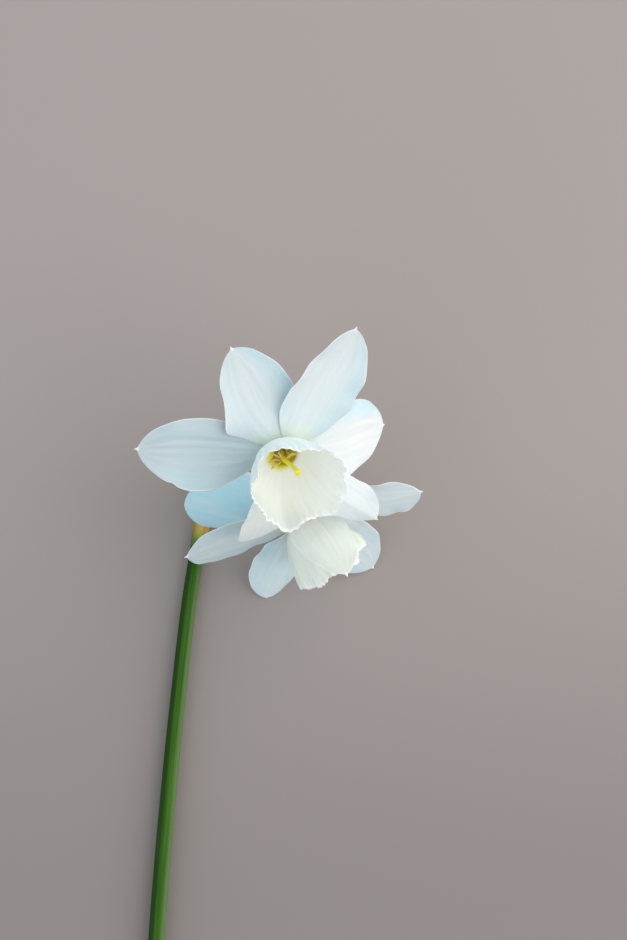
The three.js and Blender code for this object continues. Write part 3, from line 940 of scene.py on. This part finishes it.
def grow_scape(sizes):
    """The stem: its wall, its cut end and the hollow inside, as one closed surface."""
    radius, hollow = sizes.scape_radius / MM, sizes.hollow_radius / MM
    count, sides = SCAPE_MESH
    path = curve_through(SCAPE_ROUTE, count)
    start = path[0]
    ahead = unit(path[1] - path[0])
    shares = np.linspace(0, 1, count)
    beyond = np.clip((shares - 1 + SCAPE_ROUNDING) / SCAPE_ROUNDING, 0, 1)
    rounding = np.sqrt(np.clip(1 - beyond**2, 0.02, 1))
    rounding *= 1 - 0.1 * smoothstep(-shares, -SCAPE_ROUNDING, 0.0)
    bore = int(HOLLOW_SHARE * count)
    bore_path = path[:bore][::-1]
    bore_radii = hollow * np.minimum(1, np.linspace(0.05, 8, bore))
    route = np.vstack([bore_path, start[None] + ahead * 0.05, path[:1], path[:1], path])
    radii = np.concatenate(
        [bore_radii, [hollow * 1.04, hollow * 1.15, radius * 0.88], radius * rounding]
    )
    _, side, up = frames_along(path)
    order = np.concatenate([np.arange(bore)[::-1], [0, 0, 0], np.arange(count)])
    angle = round_angles(sides)
    ribs = 1 + SCAPE_RIB_HEIGHT * np.cos(SCAPE_RIBS * angle)
    for edge in (SCAPE_EDGE, SCAPE_EDGE + math.pi):
        off = apart(angle, edge) / SCAPE_EDGE_SPREAD
        ribs = ribs + SCAPE_EDGE_HEIGHT * np.exp(-(off**2))
    taper = 1 - SCAPE_TAPER * smoothstep(shares, 0.55, 1.0)
    wide = radii[:, None] * taper[order][:, None] * ribs[None, :]
    rings = (
        route[:, None, :]
        + side[order][:, None, :] * (wide * np.cos(angle))[..., None]
        + up[order][:, None, :] * (wide * np.sin(angle))[..., None]
    )
    share = shares[order][:, None]
    place = laid_out(radius * np.cos(angle), share * SCAPE_RUN, radius * np.sin(angle))
    shell = Shell()
    shell.add_rings(rings, place, share)
    cut_faces = (bore + 2) * sides
    shell.kinds[:cut_faces] = [1] * cut_faces
    shell.kinds[-2] = 1  # the face that closes the hollow's inner end
    return shell


def grow_spathe(sizes):
    """The papery sheath: wrapped round the stalks at its foot, a ragged tongue at its tip."""
    path = curve_through(SCAPE_ROUTE, 200)
    ahead = path[-1] - path[-2]
    ahead[2] = 0
    ahead = unit(ahead)
    aside = np.array((ahead[1], -ahead[0], 0.0))
    foot = path[-1] - ahead * SPATHE_LAP
    rows, columns = SHEATH_MESH
    s = np.linspace(0, 1, rows)[:, None]
    t = edge_spacing(columns)[None, :]
    opened = smoothstep(s, SPATHE_SHUT_SHARE, SPATHE_OPEN_SHARE)
    flared = smoothstep(s, 0.02, SPATHE_OPEN_SHARE)
    wrap = SPATHE_WRAP * (1 - opened) ** 0.8 + SPATHE_TIP_WRAP * opened
    angle = SPATHE_SPINE + t * wrap
    rng = random.Random(SHEATH_SEED)
    crumple = sum(
        rng.uniform(0.02, 0.05)
        * np.sin(2 * math.pi * (rng.uniform(0.5, 2.5) * s + rng.uniform(2, 5) * t) + k)
        for k in range(5)
    )
    radius = SPATHE_RADIUS + SPATHE_FLARE * flared + crumple * opened * 1.6
    across = radius * np.cos(angle)
    up = radius * np.sin(angle) + SPATHE_RISE * opened
    ragged = 0.9 * np.sin(9 * t + 1) * smoothstep(s, 0.7, 1.0) * 0.5
    run = (SPATHE_LENGTH + SPATHE_LAP) * s + ragged - 1.2 * t**2 * smoothstep(s, 0.6, 1.0)
    grid = (
        foot
        + ahead * run[..., None]
        + aside * across[..., None]
        + np.array((0, 0, 1.0)) * up[..., None]
    )
    thickness = sizes.sheath_thickness / MM * np.sqrt(np.clip(1 - t**16, 0.02, 1)) + 0 * s
    thickness = thickness * np.sqrt(np.clip(1 - s**30, 0.02, 1)) * smoothstep(s, -0.02, 0.06)
    place = laid_out(radius * np.cos(angle), run, radius * np.sin(angle))
    shell = Shell()
    shell.add_blade(grid, thickness, place, s, t, (1 - np.cos(angle)) / 2)
    return shell


def grow_stalk(bloom, sizes):
    """A bloom's stalk, and the three-sided ovary at its top."""
    axis = directions(bloom.axis)[0]
    throat = np.array(bloom.throat)
    ovary_length, ovary_radius = sizes.ovary_length / MM, sizes.ovary_radius / MM
    ovary_top = TUBE_OUTSIDE[0][1] - OVARY_GAP
    foot = throat + axis * (ovary_top - ovary_length)
    count, sides = STALK_MESH
    path = curve_through([*bloom.stalk, foot - axis * 3, foot + axis * 1.5], count)
    shares = np.linspace(0, 1, count)
    radii = sizes.stalk_radius / MM * (1 + STALK_FLARE * smoothstep(shares, 0.85, 1.0))
    shell = Shell()
    angle = round_angles(sides)
    rings = sweep(path, radii, sides, lambda a: 1 + 0.03 * np.cos(5 * a))
    place = laid_out(np.cos(angle), shares[:, None] * 50, np.sin(angle))
    shell.add_rings(rings, place, shares[:, None])
    count, sides = OVARY_MESH
    share = np.linspace(0.0, 1.0, count)
    swell = np.sin(math.pi * (0.08 + 0.78 * share)) * np.sqrt(np.clip(share * 9, 0.02, 1))
    profile = [
        (ovary_radius * w, ovary_top - ovary_length * (1 - k)) for w, k in zip(swell, share)
    ]
    profile.append((0.3, ovary_top + 0.25))
    angle = round_angles(sides)
    rings = lathe(profile, sides, lambda a: 1 + 0.05 * np.cos(3 * a) + 0.015 * np.cos(6 * a))
    share = np.append(share, 1.0)[:, None]
    place = laid_out(2 * np.cos(angle), share * 7 + 60, 2 * np.sin(angle))
    rings = placed(rings, bloom.axis, bloom.throat)
    shell.add_rings(rings, place, share)
    return shell


def mucro_length(leaf):
    return max(leaf.mucro, 0.05) * MUCRO_LENGTH


def half_width(s, leaf):
    """Half a tepal's width: a narrow root, a full middle and a point."""
    inner = np.clip(s, 1e-6, 1 - 1e-9)
    widest = leaf.full / (leaf.full + leaf.point)
    outline = inner**leaf.full * (1 - inner) ** leaf.point
    peak = widest**leaf.full * (1 - widest) ** leaf.point
    blade = leaf.wide / 2 * outline / peak
    foot = ROOT_WIDTH / 2 * (1 - inner) ** 3
    beyond = (s - 1) * leaf.long / mucro_length(leaf)
    spike = MUCRO_WIDTH / 2 * np.clip(1 - beyond, 0.05, 1)
    return np.maximum(np.hypot(blade, foot), spike)


def tepal_course(bloom, leaf, s):
    """Where a tepal's midrib runs, and the directions across it and out of its face."""
    axis, first, second = directions(bloom.axis)
    around = math.radians(leaf.around)
    outward = first * math.cos(around) + second * math.sin(around)
    sideways = np.cross(axis, outward)

    def ahead_at(s):
        rise = np.radians(leaf.rise * (1 - np.exp(-s / RISE_SHARE)) + leaf.curl * s)[:, None]
        bend = np.radians(leaf.bend * s)[:, None]
        return (
            outward * np.cos(rise) * np.cos(bend)
            + sideways * np.cos(rise) * np.sin(bend)
            + axis * np.sin(rise)
        )

    stride = (leaf.long - ROOT_RADIUS) / MIDRIB_STEPS
    tail = int(MIDRIB_STEPS * TIP_SHARE)
    knots = np.arange(MIDRIB_STEPS + tail + 1) / MIDRIB_STEPS
    start = np.array(bloom.throat) + outward * ROOT_RADIUS + axis * leaf.root
    strides = ahead_at(knots[:-1] + 0.5 / MIDRIB_STEPS) * stride
    midrib = np.vstack([start, start + np.cumsum(strides, axis=0)])
    centre = np.stack([np.interp(s, knots, midrib[:, k]) for k in range(3)], axis=1)
    ahead = ahead_at(s)
    bend = np.radians(leaf.bend * s)[:, None]
    flat = -outward * np.sin(bend) + sideways * np.cos(bend)
    raised = np.cross(ahead, flat)
    twist = np.radians(leaf.twist * s)[:, None]
    across = flat * np.cos(twist) + raised * np.sin(twist)
    return centre[:, None, :], across[:, None, :], np.cross(ahead, across)[:, None, :]


def waves(rng, weakest, strongest, counts, s, shift):
    """A sum of waves along a tepal, each with its own height and start."""
    return sum(
        rng.uniform(weakest, strongest)
        * np.sin(2 * math.pi * count * s + rng.uniform(0, 6.3) + shift)
        for count in counts
    )


def soft_ridges(rng, s, t):
    """Four soft lengthwise ridges, two on either side of a tepal's midrib."""
    spots = (
        (rng.uniform(-0.6, -0.4), 0.8, 0.11),
        (rng.uniform(-0.3, -0.1), 1.0, 0.07),
        (rng.uniform(0.1, 0.3), 1.0, 0.09),
        (rng.uniform(0.4, 0.6), 0.8, 0.12),
    )
    return sum(
        high
        * rng.uniform(0.4, 1.0)
        * np.exp(-(((t - spot + 0.03 * np.sin(5 * s + rng.uniform(0, 6))) / width) ** 2))
        * (1 + 0.6 * np.sin(rng.uniform(3, 7) * s + rng.uniform(0, 6)))
        for spot, high, width in spots
    )


def grow_tepal(shell, bloom, leaf, sizes, seed):
    """One tepal, as a thin blade with ridges, veins, a waved edge and a small tip."""
    rng = random.Random(seed)
    rows, columns = TEPAL_MESH
    end = 1 + mucro_length(leaf) / leaf.long
    even = np.linspace(0, 1, rows)
    places = end * (0.55 * even + 0.45 * np.sin(even * math.pi / 2))
    centre, across, face = tepal_course(bloom, leaf, places)
    s, t = places[:, None], edge_spacing(columns)[None, :]

    widths = half_width(places, leaf)[:, None] + 0 * t
    for side, where, depth, spread in leaf.nicks:
        shape = np.exp(-(((s - where) / spread) ** 2))
        widths = widths - depth * shape * smoothstep(t * side, 0.3, 1.0)
    wobble = waves(rng, 0.3, 1.0, (1.3, 2.4, 4.1), s, 2 * np.sign(t))
    fade = smoothstep(s, 0.08, 0.35) * (1 - smoothstep(s, 0.85, 1.0))
    widths = widths * (1 + 0.012 * wobble * fade * np.abs(t))
    x = t * widths

    lift = leaf.cup * x**2 / (leaf.wide / 2) * np.minimum(1, 2.5 * s)
    lift = lift - leaf.keel * (np.sqrt(x**2 + 0.25) - 0.5) * smoothstep(s, 0.05, 0.3)
    for side, roll in zip((-1, 1), leaf.roll):
        lift = lift + roll * smoothstep(side * t, 0.45, 1.0) ** 1.5 * fade
    full = smoothstep(s, 0.02, 0.25) * (1 - smoothstep(s, 0.8, 1.0))
    lift = lift + sizes.ridge_height / MM * leaf.ridge * full * soft_ridges(rng, s, t)
    veins = np.cos(t * 46 + 0.9 * np.sin(3 * s + seed)) * np.cos(t * 17 + seed)
    lift = lift + sizes.vein_height / MM * veins * full
    ruffle = waves(rng, 0.3, 0.7, (1.1, 2.3, 3.9), s, np.sign(t))
    lift = lift + sizes.ruffle_height / MM * ruffle * np.abs(t) ** 3 * fade
    grid = centre + across * x[..., None] + face * lift[..., None]

    middle, edge = sizes.tepal_thickness / MM, sizes.edge_thickness / MM
    thickness = edge + (middle - edge) * (1 - t**2) * (1 - 0.5 * np.clip(s, 0, 1))
    thickness = thickness * np.sqrt(np.clip(1 - np.abs(t) ** 14, 0.0, 1))
    thickness = np.minimum(thickness, 1.4 * widths)
    # Painted cool shade: the tepal's own amount, and more towards the sides that its flank shades
    # name.
    cool = leaf.cool + 0 * x
    for side, tint in zip((-1, 1), leaf.flanks):
        cool = cool + tint * smoothstep(side * t, 0.1, 0.95)
    place = laid_out(x, s * leaf.long, seed * GRAIN_STEP)
    shell.add_blade(grid, thickness, place, s, t, cool, leaf.cream, leaf.shade)


def grow_tube(shell, bloom):
    """The tube that the tepals grow on, open down its middle."""
    outside = round_profile(TUBE_OUTSIDE, 36)
    inside = round_profile(TUBE_INSIDE, 30)
    profile = [
        (0.3, TUBE_OUTSIDE[0][1]),
        (1.1, TUBE_OUTSIDE[0][1]),
        *outside,
        (4.75, 0.0),
        (4.5, 0.35),
        *inside,
        (0.3, TUBE_FLOOR),
    ]
    angle = round_angles(TUBE_SIDES)
    rings = lathe(profile, TUBE_SIDES, lambda a: 1 + 0.012 * np.cos(6 * a))
    height = np.array([h for _, h in profile])[:, None]
    place = laid_out(3 * np.cos(angle), height, 3 * np.sin(angle))
    along = smoothstep(height, -15.0, 2.0) * 0.12
    deep = np.zeros((len(profile), 1))
    deep[-len(inside) - 1 :] = 1.0
    rings = placed(rings, bloom.axis, bloom.throat)
    shell.add_rings(rings, place, along, 0.0, deep)


def cup_grid(bloom, sizes, outline, share, angle):
    """The middle of the cup's wall, with its pleats, its lobes and its frilled rim."""
    rng = random.Random(CUP_SEEDS[bloom.side])
    scale = bloom.cup_scale
    opened = smoothstep(share, 0.3, 1.0)
    phases = [rng.uniform(0, 2 * math.pi) for _ in range(7)]
    strength = 1 + 0.5 * np.sin(2 * angle + phases[0]) * np.sin(3 * angle + phases[1])
    pleat = sizes.pleat_depth / MM * np.cos(CUP_PLEATS * angle) * strength
    lobe = sizes.lobe_depth / MM * np.cos(CUP_LOBES * angle)
    fine = 0.07 * np.sin(29 * angle + 1.5 * np.sin(5 * angle + phases[2]) + 2 * share)
    crinkle = smoothstep(share, 0.8, 1.0) * (
        0.17 * np.sin(23 * angle + 3 * np.sin(4 * angle + phases[3]))
        + 0.13 * np.sin(43 * angle + 4 * np.sin(3 * angle + phases[4]))
    )
    swell = sum(
        high * np.exp(-((np.degrees(apart(angle, np.radians(at))) / span) ** 2))
        for at, high, span in bloom.rim
    )
    spread = opened * scale * (pleat + lobe + fine) - sizes.cup_wall / MM / 2
    spread = spread + crinkle + swell * share**2
    radius = np.maximum(outline[:, :1] * scale, CUP_OUTSIDE[0][0]) + spread
    ragged = 0.36 * np.sin(17 * angle + 3 * np.sin(2 * angle + phases[5]))
    ragged = ragged + 0.34 * np.sin(39 * angle + 5 * np.sin(3 * angle + phases[6]))
    frill = sizes.frill_depth / MM * (
        share**6 * np.sin(CUP_LOBES * angle + 1) + share**12 * ragged
    )
    height = outline[:, 1:] * np.where(outline[:, 1:] > 0, scale, 1.0) + frill
    belly = np.sin(math.pi * smoothstep(share, 0.1, 1.0))
    return laid_out(
        radius * np.cos(angle) + belly * bloom.cup_belly[0],
        radius * np.sin(angle) + belly * bloom.cup_belly[1],
        height,
    )


def grow_corona(bloom, sizes):
    """The pleated cup: its outer side and its inner side, joined at the rim and at the throat."""
    rows, around = CUP_MESH
    outline = np.array(round_profile(CUP_OUTSIDE, rows))
    share = np.linspace(0, 1, rows)[:, None]
    angle = round_angles(around)[None, :]
    grid = cup_grid(bloom, sizes, outline, share, angle)
    loop = np.concatenate([grid[:, -1:], grid, grid[:, :1]], axis=1)
    along = np.gradient(loop, axis=0)[:, 1:-1]
    over = np.gradient(loop, axis=1)[:, 1:-1]
    normal = unit(np.cross(along, over))
    thin = sizes.cup_wall / MM * (1 - 0.35 * share) * np.sqrt(np.clip(1 - share**40, 0.0, 1))
    inner = grid + normal * thin[..., None] / 2
    outer = grid - normal * thin[..., None] / 2
    rings = np.concatenate([outer, inner[-2::-1]])
    shares = np.concatenate([share, share[-2::-1]])
    inside = np.concatenate([np.zeros(rows), np.ones(rows - 1)])[:, None]
    run = np.concatenate([outline[:, 1:], outline[-2::-1, 1:]])
    place = laid_out(angle * CUP_GRAIN_GIRTH, run * 1.2, 40.0)
    turned = np.cos(angle - CUP_THROAT_TURN) + 0 * shares
    # Painted shade on the side of the cup's inside where the key light falls most, stronger towards
    # the rim.
    shade_side = smoothstep(np.cos(angle - CUP_SHADE_TURN), -0.4, 0.9)
    inside_shade = CUP_SHADE_SHARE * shade_side * smoothstep(shares, 0.35, 0.9)
    shell = Shell()
    shell.add_rings(
        nodded(rings, bloom), place, shares, turned, inside, bloom.cup_cool, inside_shade, tyre=True
    )
    return shell


def anther(sizes):
    """An anther made along +Z: two long lobes with a groove between them."""
    count, sides = ANTHER_MESH
    share = np.linspace(0.02, 0.98, count)
    wide = sizes.anther_radius / MM * np.sin(math.pi * share) ** 0.45
    profile = [(w, sizes.anther_length / MM * (k - 0.5)) for w, k in zip(wide, share)]
    return lathe(profile, sides, lambda a: 1 + ANTHER_GROOVE * np.cos(2 * a)), share


def turned(points, angle, first, second):
    """Points turned from one axis towards another, with the axes given by number."""
    c, s = math.cos(angle), math.sin(angle)
    made = points.copy()
    made[..., first] = c * points[..., first] - s * points[..., second]
    made[..., second] = s * points[..., first] + c * points[..., second]
    return made


def swayed(rings, lean=0.0):
    """Sways what stands in a cup to the side, and leans what stands high in it back across."""
    height = rings[..., 2]
    moved = rings.copy()
    moved[..., 0] += lean * smoothstep(height, 0.0, STYLE_TOP)
    moved[..., 0] -= SWAY * smoothstep(height, -4.0, 1.0)
    return moved


def grow_stamens(bloom, sizes):
    """Six filaments on a ring inside the tube, each with its anther."""
    scale = bloom.cup_scale
    shell = Shell()
    low, high = RING_HEIGHT, RING_HEIGHT + RING_DEPTH
    inner = RING_RADIUS - RING_WALL
    corners = [(inner, low), (RING_RADIUS, low), (RING_RADIUS, high), (inner, high)]
    ring = lathe(corners, RING_SIDES)
    shell.add_rings(nodded(ring, bloom), ring, tyre=True)
    rng = random.Random(STAMEN_SEED)
    reach = 2.1 * scale - 0.2
    count, sides = FILAMENT_MESH
    along = np.linspace(0, 1, count)[:, None]
    radii = sizes.filament_radius / MM * np.linspace(1.1, 0.7, count)
    for i, turn in enumerate(STAMEN_PLACES):
        top = FILAMENT_HEIGHTS[i % 2]
        route = [(1.5, 0, RING_HEIGHT + 0.4), (1.5, 0, -1.5), (1.6, 0, 0.4), (reach, 0, top)]
        thread = sweep(curve_through(route, count), radii, sides)
        tip, share = anther(sizes)
        tip = tip - ANTHER_BOW * (share[:, None, None] * 2 - 1) ** 2
        tip = turned(tip, ANTHER_TILT, 2, 0)
        tip = tip + np.array((reach + 0.45 * scale, 0, top + 0.35))
        thread, tip = (turned(rings, math.radians(turn), 0, 1) for rings in (thread, tip))
        shell.add_rings(nodded(swayed(thread), bloom), thread + i, along)
        place = tip + rng.uniform(0, 9)
        shell.add_rings(nodded(swayed(tip), bloom), place, share[:, None], kind=1)
    return shell


def grow_pistil(bloom, sizes):
    """The style, with a three-lobed stigma at its top."""
    radius = sizes.style_radius / MM
    count, sides = STYLE_MESH
    foot = (radius * 0.8, TUBE_FLOOR + OVARY_GAP)
    neck = (radius * 1.1, STYLE_TOP - 1.3)
    profile = round_profile([foot, (radius, -2.0), (radius, STYLE_TOP - 2.4), neck], count)
    profile += [(radius * wide, STYLE_TOP - down) for wide, down in STIGMA]
    lobes = np.array([smoothstep(h, STYLE_TOP - 1.4, STYLE_TOP - 0.5) for _, h in profile])
    angle = round_angles(sides)
    rings = lathe(profile, sides)
    shape = 1 + 0.16 * lobes[:, None] * np.cos(3 * angle)[None, :]
    rings[..., :2] *= shape[..., None]
    share = np.linspace(0, 1, len(profile))[:, None]
    shell = Shell()
    rings = swayed(rings, STYLE_LEAN)
    shell.add_rings(nodded(rings, bloom), rings, share)
    return shell


# ---- operators ----


class NARCISSUS_OT_scape(bpy.types.Operator):
    """Grow the flower stem, with its cut end and its hollow"""

    bl_idname = "narcissus.scape"
    bl_label = "Scape"
    bl_options = {"REGISTER", "UNDO"}

    def execute(self, context):
        shell = grow_scape(context.scene.narcissus_stem)
        shell.piece("stem", [stem_finish(), flesh_finish()], "stem", "scape")
        return {"FINISHED"}


class NARCISSUS_OT_spathe(bpy.types.Operator):
    """Wrap the papery sheath round the foot of the stalks"""

    bl_idname = "narcissus.spathe"
    bl_label = "Sheath"
    bl_options = {"REGISTER", "UNDO"}

    def execute(self, context):
        shell = grow_spathe(context.scene.narcissus_stem)
        shell.piece("sheath", [sheath_finish()], "sheath", "spathe")
        return {"FINISHED"}


class NARCISSUS_OT_pedicels(bpy.types.Operator):
    """Grow each bloom's own stalk and ovary"""

    bl_idname = "narcissus.pedicels"
    bl_label = "Stalks and Ovaries"
    bl_options = {"REGISTER", "UNDO"}

    def execute(self, context):
        skin = stalk_finish()
        for bloom in BLOOMS:
            shell = grow_stalk(bloom, context.scene.narcissus_stem)
            shell.piece(f"stalk_{bloom.side}", [skin], "stalk", f"pedicel_{bloom.side}")
        return {"FINISHED"}


class NARCISSUS_OT_tepals(bpy.types.Operator):
    """Open the tepals of each bloom on their tube"""

    bl_idname = "narcissus.tepals"
    bl_label = "Tepals"
    bl_options = {"REGISTER", "UNDO"}

    def execute(self, context):
        skin = tepal_finish()
        sizes = context.scene.narcissus_bloom
        for number, bloom in enumerate(BLOOMS):
            shell = Shell()
            grow_tube(shell, bloom)
            for i, leaf in enumerate(bloom.tepals):
                grow_tepal(shell, bloom, leaf, sizes, 10 * number + i + 1)
            shell.piece(f"tepals_{bloom.side}", [skin], "tepal", f"perianth_{bloom.side}")
        return {"FINISHED"}


class NARCISSUS_OT_coronas(bpy.types.Operator):
    """Set the pleated, frilled cup into each bloom"""

    bl_idname = "narcissus.coronas"
    bl_label = "Cups"
    bl_options = {"REGISTER", "UNDO"}

    def execute(self, context):
        skin = cup_finish()
        for bloom in BLOOMS:
            shell = grow_corona(bloom, context.scene.narcissus_bloom)
            shell.piece(f"cup_{bloom.side}", [skin], "cup", f"corona_{bloom.side}")
        return {"FINISHED"}


class NARCISSUS_OT_stamens(bpy.types.Operator):
    """Stand the filaments and anthers inside each cup"""

    bl_idname = "narcissus.stamens"
    bl_label = "Stamens"
    bl_options = {"REGISTER", "UNDO"}

    def execute(self, context):
        skins = [filament_finish(), anther_finish()]
        for bloom in BLOOMS:
            shell = grow_stamens(bloom, context.scene.narcissus_bloom)
            name = f"stamens_{bloom.side}"
            shell.piece(f"{name}_fine", skins, "stamen", name)
        return {"FINISHED"}


class NARCISSUS_OT_pistils(bpy.types.Operator):
    """Stand the style and stigma in the middle of each cup"""

    bl_idname = "narcissus.pistils"
    bl_label = "Pistils"
    bl_options = {"REGISTER", "UNDO"}

    def execute(self, context):
        skin = style_finish()
        for bloom in BLOOMS:
            shell = grow_pistil(bloom, context.scene.narcissus_bloom)
            shell.piece(f"style_{bloom.side}", [skin], "pistil", f"pistil_{bloom.side}")
        return {"FINISHED"}


class NARCISSUS_OT_stage(bpy.types.Operator):
    """Lay the plain floor and set the soft lights and the camera"""

    bl_idname = "narcissus.stage"
    bl_label = "Floor, Lights and Camera"
    bl_options = {"REGISTER", "UNDO"}

    def execute(self, context):
        scene = context.scene
        studio = scene.narcissus_studio
        lay_floor(scene, studio)
        set_lights(scene, studio)
        set_camera(scene, studio)
        return {"FINISHED"}


def lay_floor(scene, studio):
    mesh = bpy.data.meshes.new("floor")
    reach, bottom = FLOOR_REACH * MM, CAD_BOX[0].z
    angles = round_angles(FLOOR_CORNERS)
    corners = [(reach * math.cos(a), reach * math.sin(a), bottom) for a in angles]
    mesh.from_pydata(corners, [], [list(range(FLOOR_CORNERS))])
    finish = Finish("floor_paint")
    made = finish.node("ShaderNodeTexCoord")
    grain = finish.noise(made.outputs["Object"], scale=3.0)
    along = finish.part(made.outputs["Object"], 1)
    pale = tuple(studio.floor)
    grained = tuple(FLOOR_GRAIN * c for c in pale)
    # Painted shade: the floor darkens to this tone towards the stem's cut end.
    shaded_tone = tuple(FLOOR_SHADED_SHARE * c for c in pale)
    skin = finish.mix(finish.between(grain, 0.3, 0.7, 0.0, 0.12), pale, grained)
    shade_fall = finish.between(along, FLOOR_SHADE_RUN[0] * MM, FLOOR_SHADE_RUN[1] * MM)
    skin = finish.mix(shade_fall, skin, shaded_tone)
    finish.set(Base_Color=skin, Roughness=0.9, Specular_IOR_Level=0.1)
    mesh.materials.append(finish.material)
    floor = bpy.data.objects.new("floor", mesh)
    scene.collection.objects.link(floor)


def set_lights(scene, studio):
    world = bpy.data.worlds.new("studio")
    world.use_nodes = True
    background = world.node_tree.nodes["Background"]
    background.inputs["Color"].default_value = (*studio.sky, 1.0)
    background.inputs["Strength"].default_value = studio.fill_strength
    scene.world = world
    hang_light("key", studio.key_size, studio.key_power, KEY_TINT, KEY_TOWARD)
    hang_light("side", studio.key_size, studio.side_power, SIDE_TINT, SIDE_TOWARD)
    scene.view_settings.view_transform = "Standard"
    scene.view_settings.look = "None"


def hang_light(name, size, power, tint, toward):
    """Hangs a large square light in a direction from the front bloom, shining back at it."""
    lamp = bpy.data.lights.new(name, "AREA")
    lamp.shape = "SQUARE"
    lamp.size = size
    lamp.energy = power
    lamp.color = tint
    axis = unit(np.array(toward))
    light = bpy.data.objects.new(name, lamp)
    light.location = (np.array(FRONT.throat) + axis * LIGHT_DISTANCE) * MM
    light.rotation_mode = "QUATERNION"
    light.rotation_quaternion = Vector(axis).to_track_quat("Z", "Y")
    bpy.context.scene.collection.objects.link(light)


def set_camera(scene, studio):
    data = bpy.data.cameras.new("camera")
    data.sensor_width = SENSOR_WIDTH
    data.lens = data.sensor_width * studio.camera_distance / studio.view_height
    data.clip_start, data.clip_end = CLIP_START * MM, CLIP_END * MM
    camera = bpy.data.objects.new("camera", data)
    camera.location = np.array(CAMERA_AIM) * MM + np.array((0, 0, studio.camera_distance))
    scene.collection.objects.link(camera)
    scene.camera = camera


OPERATORS = (
    NARCISSUS_OT_scape,
    NARCISSUS_OT_spathe,
    NARCISSUS_OT_pedicels,
    NARCISSUS_OT_tepals,
    NARCISSUS_OT_coronas,
    NARCISSUS_OT_stamens,
    NARCISSUS_OT_pistils,
    NARCISSUS_OT_stage,
)


class NARCISSUS_PT_plant(bpy.types.Panel):
    """Everything that makes up the narcissus"""

    bl_idname = "NARCISSUS_PT_plant"
    bl_label = "Narcissus"
    bl_space_type = "VIEW_3D"
    bl_region_type = "UI"
    bl_category = "Narcissus"

    def draw(self, context):
        layout = self.layout
        for operator in OPERATORS:
            layout.operator(operator.bl_idname)
        for name, group in GROUPS:
            box = layout.box()
            settings = getattr(context.scene, name)
            for prop in group.__annotations__:
                box.prop(settings, prop)


def register():
    for _, group in GROUPS:
        bpy.utils.register_class(group)
    for name, group in GROUPS:
        setattr(bpy.types.Scene, name, bpy.props.PointerProperty(type=group))
    for operator in OPERATORS:
        bpy.utils.register_class(operator)
    bpy.utils.register_class(NARCISSUS_PT_plant)


def unregister():
    bpy.utils.unregister_class(NARCISSUS_PT_plant)
    for operator in reversed(OPERATORS):
        bpy.utils.unregister_class(operator)
    for name, group in reversed(GROUPS):
        delattr(bpy.types.Scene, name)
        bpy.utils.unregister_class(group)


def main():
    register()
    bpy.ops.narcissus.scape()
    bpy.ops.narcissus.spathe()
    bpy.ops.narcissus.pedicels()
    bpy.ops.narcissus.tepals()
    bpy.ops.narcissus.coronas()
    bpy.ops.narcissus.stamens()
    bpy.ops.narcissus.pistils()
    bpy.ops.narcissus.stage()


if __name__ == "__main__":
    main()
